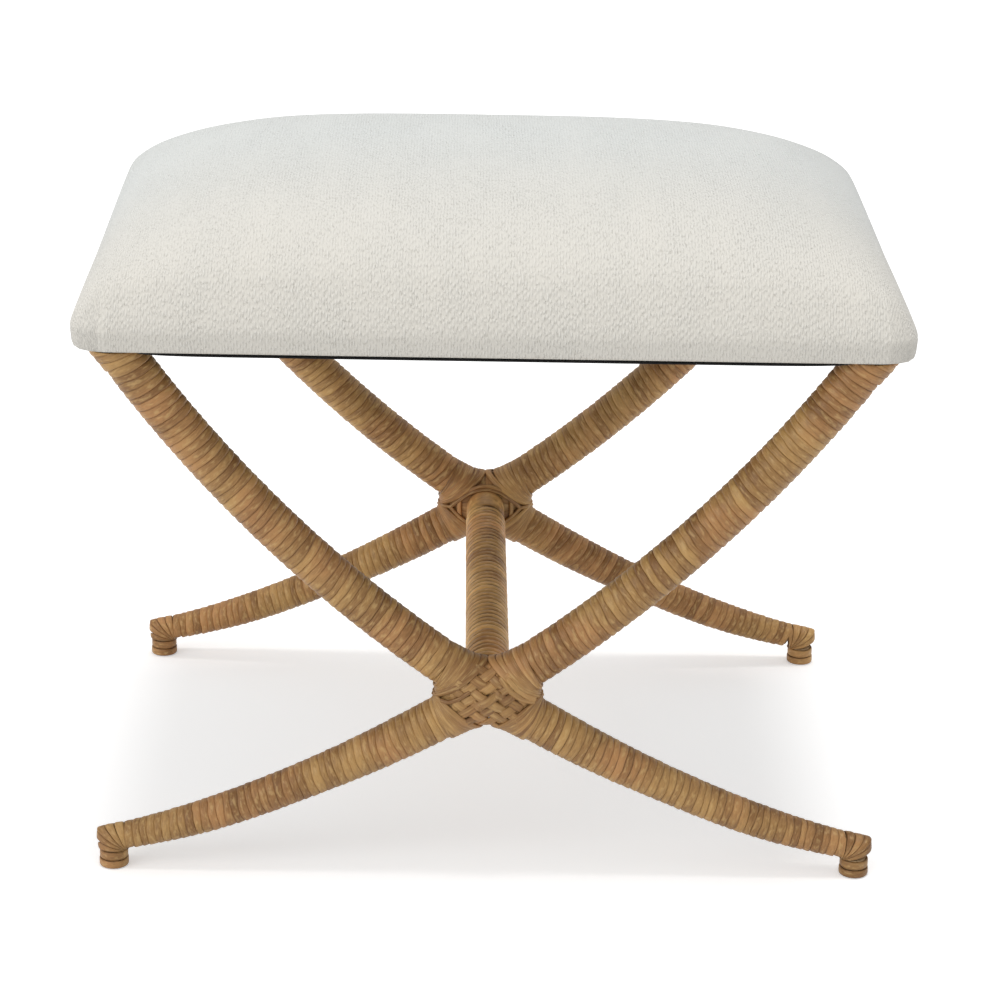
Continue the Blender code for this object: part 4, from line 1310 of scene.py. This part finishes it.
def pole_mesh(name, route):
    """A tapered round pole with a flat top and a rounded lower end."""
    tip = POLE_END_RADIUS
    end = route.length - TIP_SHORTER
    stops = [(stop, pole_radius(stop)) for stop in np.linspace(0.0, end - tip, POLE_RINGS)]
    for angle in np.linspace(0, math.pi / 2, 8)[1:-1]:
        stops.append((end - tip + tip * math.sin(angle), tip * math.cos(angle)))
    bm = bmesh.new()
    rings = []
    for stop, radius in stops:
        middle = route.at(stop)
        _, normal = route.heading(stop)
        ring = []
        for turn in np.linspace(0, 2 * math.pi, POLE_SIDES, endpoint=False):
            aside = np.array([0, 1, 0]) * math.sin(turn) + normal * math.cos(turn)
            ring.append(bm.verts.new(middle + aside * radius))
        rings.append(ring)
    pairs = [(k, (k + 1) % POLE_SIDES) for k in range(POLE_SIDES)]
    for first, second in zip(rings, rings[1:]):
        for k, after in pairs:
            bm.faces.new((first[k], second[k], second[after], first[after]))
    bm.faces.new(rings[0])
    peak = bm.verts.new(route.at(end))
    for k, after in pairs:
        bm.faces.new((rings[-1][k], peak, rings[-1][after]))
    mesh = plain_mesh(bm, name)
    mesh.shade_smooth()
    for vert in mesh.vertices:
        vert.co.z = min(vert.co.z, POLE_TOP)
    return mesh


def foot_fan(mirror, end, seed):
    """The turns that fan round a foot's elbow."""
    route, halves = elbow_route(mirror, end)

    def half(distance):
        return float(np.interp(distance, route.lengths, halves))

    def wide(distance):
        return (0.0092 + 0.0008 * distance / route.length) / half(distance)

    return wind(
        route, 0.0, route.length, half, ELBOW_TURNS, seed, wide=wide,
        Wander=0.4, Thickness=0.0010, Crown=0.0002,
    )


def foot_rounds(mirror, end, seed):
    """The two level rounds down a foot's short upright, which meet at a seam."""
    y = end * HALF_SPACING
    spots = [(mirror * FOOT_X, y, z) for z in np.linspace(STUB_TOP, 0.0, 12)]
    stub = Route(spots, (0, mirror, 0))
    seam = STUB_TOP - STUB_SEAM
    made = []
    for start, stop, radius in (
        (0.0, seam - 0.0001, STUB_RADIUS - 0.0004), (seam, STUB_TOP - 0.0002, STUB_RADIUS),
    ):
        made.append(
            wind(
                stub, start, stop, steady(radius), STUB_TURNS, seed + 10 * start,
                Climb=0.0, Wander=0.0, Fill=0.99, Shingle=0.0, Thickness=0.0012, Crown=0.0001,
            )
        )
    return made


def floor_material(settings):
    """A pale floor, lighter for the camera and in reflections than the lamps make it."""
    look = Look("pale_floor", 0.95)
    look.set("Base Color", settings.floor)
    look.set("Specular IOR Level", 0.1)
    plain = Term(look, look.shader.outputs[0])
    values = {"Color": (1, 1, 1, 1), "Strength": settings.floor_glow}
    glow = look.add("ShaderNodeEmission", None, values)
    lift = look.add("ShaderNodeBsdfDiffuse", None, {"Color": settings.floor_lift})
    lifted = look.add("ShaderNodeAddShader", None, {0: lift, 1: glow})
    both = look.add("ShaderNodeAddShader", None, {0: plain, 1: lifted})
    seen = look.add("ShaderNodeLightPath")
    direct = look.math("MAXIMUM", seen.also("Is Camera Ray"), seen.also("Is Glossy Ray"))
    shown = look.blend(direct, plain, both)
    look.tree.links.new(shown.socket, look.tree.nodes["Material Output"].inputs["Surface"])
    return look.material


def light_world(scene, strength):
    """Even light from all round, where the camera itself sees white."""
    world = scene.world or bpy.data.worlds.new("studio")
    scene.world = world
    world.use_nodes = True
    graph = Graph(world.node_tree)
    ground = graph.tree.nodes["Background"]
    ground.inputs["Color"].default_value = (1.0, 1.0, 1.0, 1.0)
    ground.inputs["Strength"].default_value = strength
    white = graph.add("ShaderNodeBackground", None, {"Color": (1, 1, 1, 1), "Strength": 1.0})
    seen = graph.add("ShaderNodeLightPath").also("Is Camera Ray")
    shown = graph.blend(seen, Term(graph, ground.outputs[0]), white)
    graph.tree.links.new(shown.socket, graph.tree.nodes["World Output"].inputs["Surface"])


def place_camera(scene, lens):
    """The camera, at the photo's viewing angle."""
    camera = bpy.data.cameras.new("camera")
    camera.lens = lens
    camera.sensor_width = SENSOR_WIDTH
    level = math.cos(CAMERA_PITCH)
    ahead = Vector(
        (math.sin(CAMERA_YAW) * level, math.cos(CAMERA_YAW) * level, -math.sin(CAMERA_PITCH))
    )
    right = Vector((math.cos(CAMERA_YAW), -math.sin(CAMERA_YAW), 0.0))
    down = ahead.cross(right)
    x_axis = right * math.cos(CAMERA_ROLL) + down * math.sin(CAMERA_ROLL)
    y_axis = right * math.sin(CAMERA_ROLL) - down * math.cos(CAMERA_ROLL)
    turn = Matrix((x_axis, y_axis, -ahead)).transposed()
    item = link_object("camera", camera)
    item.matrix_world = Matrix.Translation(CAMERA_PLACE) @ turn.to_4x4()
    scene.camera = item


def length_setting(name, description, default, low, high):
    return bpy.props.FloatProperty(
        name=name, description=description, default=default, min=low, max=high,
        precision=4, unit="LENGTH",
    )


def color_setting(name, description, default):
    return bpy.props.FloatVectorProperty(
        name=name, description=description, default=default, min=0, max=1,
        subtype="COLOR", size=4,
    )


def number_setting(name, description, default, high, subtype="NONE"):
    return bpy.props.FloatProperty(
        name=name, description=description, default=default, min=0.0, max=high,
        subtype=subtype,
    )


class BenchSeatSettings(bpy.types.PropertyGroup):
    yarn_spacing: length_setting(
        "Yarn Spacing", "Distance between the cloth's lengthwise yarns", 0.0022, 0.0005, 0.01
    )
    swell: length_setting(
        "Swell", "Most that the padding pushes the cover out", 0.0027, 0.0, 0.02
    )
    cloth: color_setting("Cloth", "Main colour of the cloth", srgb(233, 229, 220))
    cloth_cool: color_setting(
        "Cool Cloth", "Cooler tone towards the back of the seat", srgb(228, 231, 229)
    )
    # Painted highlight on the crests of the cloth's raised picks
    cloth_highlight: color_setting("Painted Highlights", "Painted highlight on the raised picks", srgb(244, 242, 234))
    cloth_shade: color_setting("Shaded Yarn", "Colour between the yarns", srgb(176, 170, 154))


class BenchCaneSettings(bpy.types.PropertyGroup):
    pitch: length_setting(
        "Strip Pitch", "Distance between neighbouring turns", 0.0062, 0.002, 0.03
    )
    thickness: length_setting(
        "Strip Thickness", "Thickness of a strip at its edge", 0.0009, 0.0003, 0.004
    )
    crown: length_setting(
        "Strip Crown", "Extra thickness in a strip's middle", 0.0004, 0.0, 0.003
    )
    wander: number_setting("Wander", "How unevenly the turns lie", 0.95, 2.5, "FACTOR")
    golden: color_setting("Golden Cane", "Pale golden tone", srgb(194, 152, 92))
    rosy: color_setting("Rosy Cane", "Pale reddish tone", srgb(190, 139, 86))
    deep: color_setting("Deep Cane", "Darkest strips", srgb(134, 93, 48))
    # Painted highlight flecks on a strip's crest
    highlight_fleck: color_setting(
        "Highlight Flecks", "Painted highlight flecks on a strip's crest", srgb(216, 180, 120)
    )
    # Painted shade in the grooves between strips
    groove_shade: color_setting("Groove", "Painted shade between strips", srgb(70, 46, 24))


class BenchStageSettings(bpy.types.PropertyGroup):
    sky: number_setting("Sky Light", "Strength of the even light from all round", 0.57, 3.0)
    top_light: number_setting(
        "Top Light", "Strength of the soft light from straight above", 1.16, 10.0
    )
    key_light: number_setting(
        "Key Light", "Strength of the soft light from the front left", 0.74, 10.0
    )
    floor: color_setting("Floor", "Floor colour", (0.72, 0.72, 0.72, 1.0))
    floor_lift: color_setting(
        "Floor Lift", "Diffuse colour added to the floor where the camera or a reflection sees it",
        (0.22, 0.22, 0.22, 1.0),
    )
    floor_glow: number_setting(
        "Floor Glow", "White added to the floor where the camera or a reflection sees it",
        0.375, 1.0, "FACTOR",
    )
    focal_length: bpy.props.FloatProperty(
        name="Focal Length", description="Camera lens in millimetres",
        default=108.0, min=10.0, max=300.0, unit="CAMERA",
    )


class BENCH_OT_seat_cover(bpy.types.Operator):
    """Woven cover pulled over the padding and turned under the seat's edge"""

    bl_idname = "bench.seat_cover"
    bl_label = "Seat Cover"

    def execute(self, context):
        settings = context.scene.bench_seat
        name = "seat_upholstery"
        mesh = seat_net(name, COVER_INSET, COVER_SINK, COVER_CELL, HEM_BOTTOM, HEM_STEPS)
        item = link_object(name, mesh)
        puff(item, COVER_PRESSURE, settings.swell, COVER_FRAMES)
        mesh.materials.append(cloth_material(settings))
        mesh.shade_smooth()
        smooth = item.modifiers.new("smooth", "SUBSURF")
        smooth.levels = 1
        smooth.render_levels = 1
        wall = item.modifiers.new("thickness", "SOLIDIFY")
        wall.thickness = COVER_THICKNESS
        wall.offset = -1.0
        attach(item, "root")
        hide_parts("seat_cover")
        return {"FINISHED"}


class BENCH_OT_seat_padding(bpy.types.Operator):
    """Foam that crowns the seat and wraps the board's edge"""

    bl_idname = "bench.seat_padding"
    bl_label = "Seat Padding"

    def execute(self, context):
        mesh = seat_net("seat_padding", FOAM_INSET, FOAM_SINK, FOAM_CELL, FOAM_BOTTOM)
        mesh.materials.append(foam_material())
        mesh.shade_smooth()
        item = show_piece("seat_padding", mesh, "seat_foam")
        return {"FINISHED"}


class BENCH_OT_lining(bpy.types.Operator):
    """Black lining cloth stretched under the seat"""

    bl_idname = "bench.lining"
    bl_label = "Lining Cloth"

    def execute(self, context):
        bm = bmesh.new()
        bmesh.ops.create_grid(bm, x_segments=96, y_segments=72, size=1.0)
        for vert in bm.verts:
            vert.co = lining_point(vert.co.x, vert.co.y)
        mesh = plain_mesh(bm, "under_lining")
        mesh.materials.append(lining_material())
        mesh.shade_smooth()
        item = show_piece("under_lining", mesh, "dust_cover")
        wall = item.modifiers.new("thickness", "SOLIDIFY")
        wall.thickness = LINING_THICKNESS / 2
        return {"FINISHED"}


class BENCH_OT_poles(bpy.types.Operator):
    """Bent rattan poles with rounded lower ends, inside the windings"""

    bl_idname = "bench.poles"
    bl_label = "Bent Poles"

    def execute(self, context):
        finish = pole_material()
        for row, end, side, mirror in LEGS:
            name = f"{row}_bent_pole_{side}"
            mesh = pole_mesh(name, pole_route(mirror, end))
            mesh.materials.append(finish)
            show_piece(name, mesh, f"{row}_pole_{side}")
        return {"FINISHED"}


class BENCH_OT_leg_windings(bpy.types.Operator):
    """Cane wound round each pole, above and below its crossing"""

    bl_idname = "bench.leg_windings"
    bl_label = "Leg Windings"

    def execute(self, context):
        pitch = context.scene.bench_cane.pitch
        crossing = LEAD_IN + CROSSING
        spans = (
            ("upper", LEAD_IN + TOP_WRAP_END - pitch, crossing - WRAP_STOP),
            ("lower", crossing + WRAP_STOP, LEAD_IN + BINDING_START + WRAP_OVERRUN),
        )
        for number, leg in enumerate(LEGS, 1):
            row, _, side, _ = leg
            for seed, (part, start, stop) in enumerate(spans, 2 * number):
                turns = round((stop - start) / pitch) - 1
                mesh = wind_leg(leg, start, stop, turns, seed)
                name = f"{row}_leg_wrap_{side}_{part}"
                made = close_mesh([mesh], name, f"cane_{row}")
                show_piece(name, made, f"{row}_winding_{side}_{part}")
        return {"FINISHED"}


class BENCH_OT_top_bindings(bpy.types.Operator):
    """Leaning wraps round the pole tops, against the seat"""

    bl_idname = "bench.top_bindings"
    bl_label = "Top Bindings"

    def execute(self, context):
        pitch = context.scene.bench_cane.pitch
        stop = LEAD_IN + TOP_WRAP_END
        start = stop - (TOP_WRAP_TURNS + 1) * pitch
        for seed, leg in enumerate(LEGS, 21):
            row, _, side, _ = leg
            mesh = wind_leg(leg, start, stop, TOP_WRAP_TURNS, seed)
            name = f"{row}_leg_top_wrap_{side}"
            made = close_mesh([mesh], name, f"cane_{row}", [(POLE_TOP, 1)])
            show_piece(name, made, f"{row}_top_binding_{side}")
        return {"FINISHED"}


class BENCH_OT_stretcher_winding(bpy.types.Operator):
    """Tight cane winding along the stretcher, with a smooth wrap at its rear end"""

    bl_idname = "bench.stretcher_winding"
    bl_label = "Stretcher Winding"

    def execute(self, context):
        half = HALF_SPACING - POLE_RADIUS - 0.001
        points = [(0, y, CROSSING_HEIGHT) for y in np.linspace(-half, half, 121)]
        route = Route(points, (1, 0, 0))
        smooth = route.length - SMOOTH_END
        turns = round(smooth / STRETCHER_PITCH) - 1
        core = steady(STRETCHER_RADIUS + 0.0004)
        changes = {
            "finish": "cane_fine", "Fill": 0.99, "Wander": 0.18, "Shingle": 0.00008,
            "Thickness": 0.0010,
        }
        rings = wind(route, 0.0, smooth, core, turns, 4, Crown=0.0009, **changes)
        end_wrap = wind(
            route, smooth - 0.002, route.length, core, 1.25, 5, Climb=0.0, Crown=0.0002, **changes
        )
        made = close_mesh([rings, end_wrap], "stretcher_wrap", "cane_fine")
        show_piece("stretcher_wrap", made, "stretcher_winding")
        return {"FINISHED"}


class BENCH_OT_knots(bpy.types.Operator):
    """Plaited bindings over the two crossings"""

    bl_idname = "bench.knots"
    bl_label = "Crossing Knots"

    def execute(self, context):
        for row, end in ROWS:
            name = f"{row}_crossing_plait"
            made = close_mesh(knot_strips(end, 200 + 50 * end), name, f"cane_{row}")
            show_piece(name, made, f"{row}_knot")
        return {"FINISHED"}


class BENCH_OT_foot_bindings(bpy.types.Operator):
    """Wraps that fan round each elbow, and two level ones down the short upright foot"""

    bl_idname = "bench.foot_bindings"
    bl_label = "Foot Bindings"

    def execute(self, context):
        for seed, (row, end, side, mirror) in enumerate(LEGS, 41):
            meshes = [foot_fan(mirror, end, seed), *foot_rounds(mirror, end, seed)]
            name = f"{row}_foot_wrap_{side}"
            made = close_mesh(meshes, name, f"cane_{row}", [(FOOT_BOTTOM, -1)])
            show_piece(name, made, f"{row}_foot_binding_{side}")
        return {"FINISHED"}


class BENCH_OT_finishes(bpy.types.Operator):
    """Finishes of the parts that are carried over from the CAD model"""

    bl_idname = "bench.finishes"
    bl_label = "Part Finishes"

    def execute(self, context):
        ply = grained_material(
            "plywood_face", (srgb(190, 158, 112), srgb(212, 184, 140), srgb(132, 100, 62)),
            (0.12, 1.0, 2.0), 70.0, 0.68,
        )
        beech = grained_material(
            "turned_beech", (srgb(200, 166, 122), srgb(216, 186, 144), srgb(150, 112, 74)),
            (1.0, 1.0, 0.2), 160.0, 0.5,
        )
        chosen = (
            ("stretcher", pole_material()), ("seat_board", ply), ("_foot_peg_", beech),
            ("_cross_dowel", beech), ("_foot_glide_", plastic_material()),
            ("seat_screw_", zinc_material()),
        )
        for name, item in NODES.items():
            if item.hide_render:
                continue
            finish = next(made for part, made in chosen if part in name)
            item.data.materials.clear()
            item.data.materials.append(finish)
        return {"FINISHED"}


class BENCH_OT_stage(bpy.types.Operator):
    """Pale floor, soft lamps and the camera"""

    bl_idname = "bench.stage"
    bl_label = "Stage"

    def execute(self, context):
        scene = context.scene
        settings = scene.bench_stage
        bm = bmesh.new()
        bmesh.ops.create_grid(bm, x_segments=4, y_segments=4, size=FLOOR_REACH)
        mesh = plain_mesh(bm, "floor", False)
        mesh.materials.append(floor_material(settings))
        link_object("floor", mesh)
        light_world(scene, settings.sky)
        for name, place, angle in LAMPS:
            lamp = bpy.data.lights.new(name, "SUN")
            lamp.angle = angle
            lamp.energy = getattr(settings, name)
            item = link_object(name, lamp)
            item.location = place
            item.rotation_euler = (-Vector(place)).to_track_quat("-Z", "Y").to_euler()
        place_camera(scene, settings.focal_length)
        scene.view_settings.view_transform = "Standard"
        return {"FINISHED"}


class BENCH_PT_panel(bpy.types.Panel):
    """Lists the bench's settings and the steps that build it"""

    bl_label = "Rattan Bench"
    bl_idname = "BENCH_PT_panel"
    bl_space_type = "VIEW_3D"
    bl_region_type = "UI"
    bl_category = "Bench"

    def draw(self, context):
        scene = context.scene
        for setting in SETTINGS:
            group = getattr(scene, setting)
            box = self.layout.box()
            box.label(text=setting.removeprefix("bench_").title())
            for name in group.bl_rna.properties.keys():
                if name not in ("rna_type", "name"):
                    box.prop(group, name)
        for step in STEPS:
            self.layout.operator(step.bl_idname)


STEPS = (
    BENCH_OT_stage,
    BENCH_OT_seat_cover,
    BENCH_OT_seat_padding,
    BENCH_OT_lining,
    BENCH_OT_poles,
    BENCH_OT_leg_windings,
    BENCH_OT_top_bindings,
    BENCH_OT_stretcher_winding,
    BENCH_OT_knots,
    BENCH_OT_foot_bindings,
    BENCH_OT_finishes,
)
SETTINGS = {
    "bench_seat": BenchSeatSettings,
    "bench_cane": BenchCaneSettings,
    "bench_stage": BenchStageSettings,
}
CLASSES = (*SETTINGS.values(), *STEPS, BENCH_PT_panel)


def register():
    for item in CLASSES:
        bpy.utils.register_class(item)
    for name, group in SETTINGS.items():
        setattr(bpy.types.Scene, name, bpy.props.PointerProperty(type=group))


def unregister():
    for name in SETTINGS:
        delattr(bpy.types.Scene, name)
    for item in reversed(CLASSES):
        bpy.utils.unregister_class(item)


def main():
    register()
    for step in STEPS:
        group, name = step.bl_idname.split(".")
        getattr(getattr(bpy.ops, group), name)()


if __name__ == "__main__":
    main()
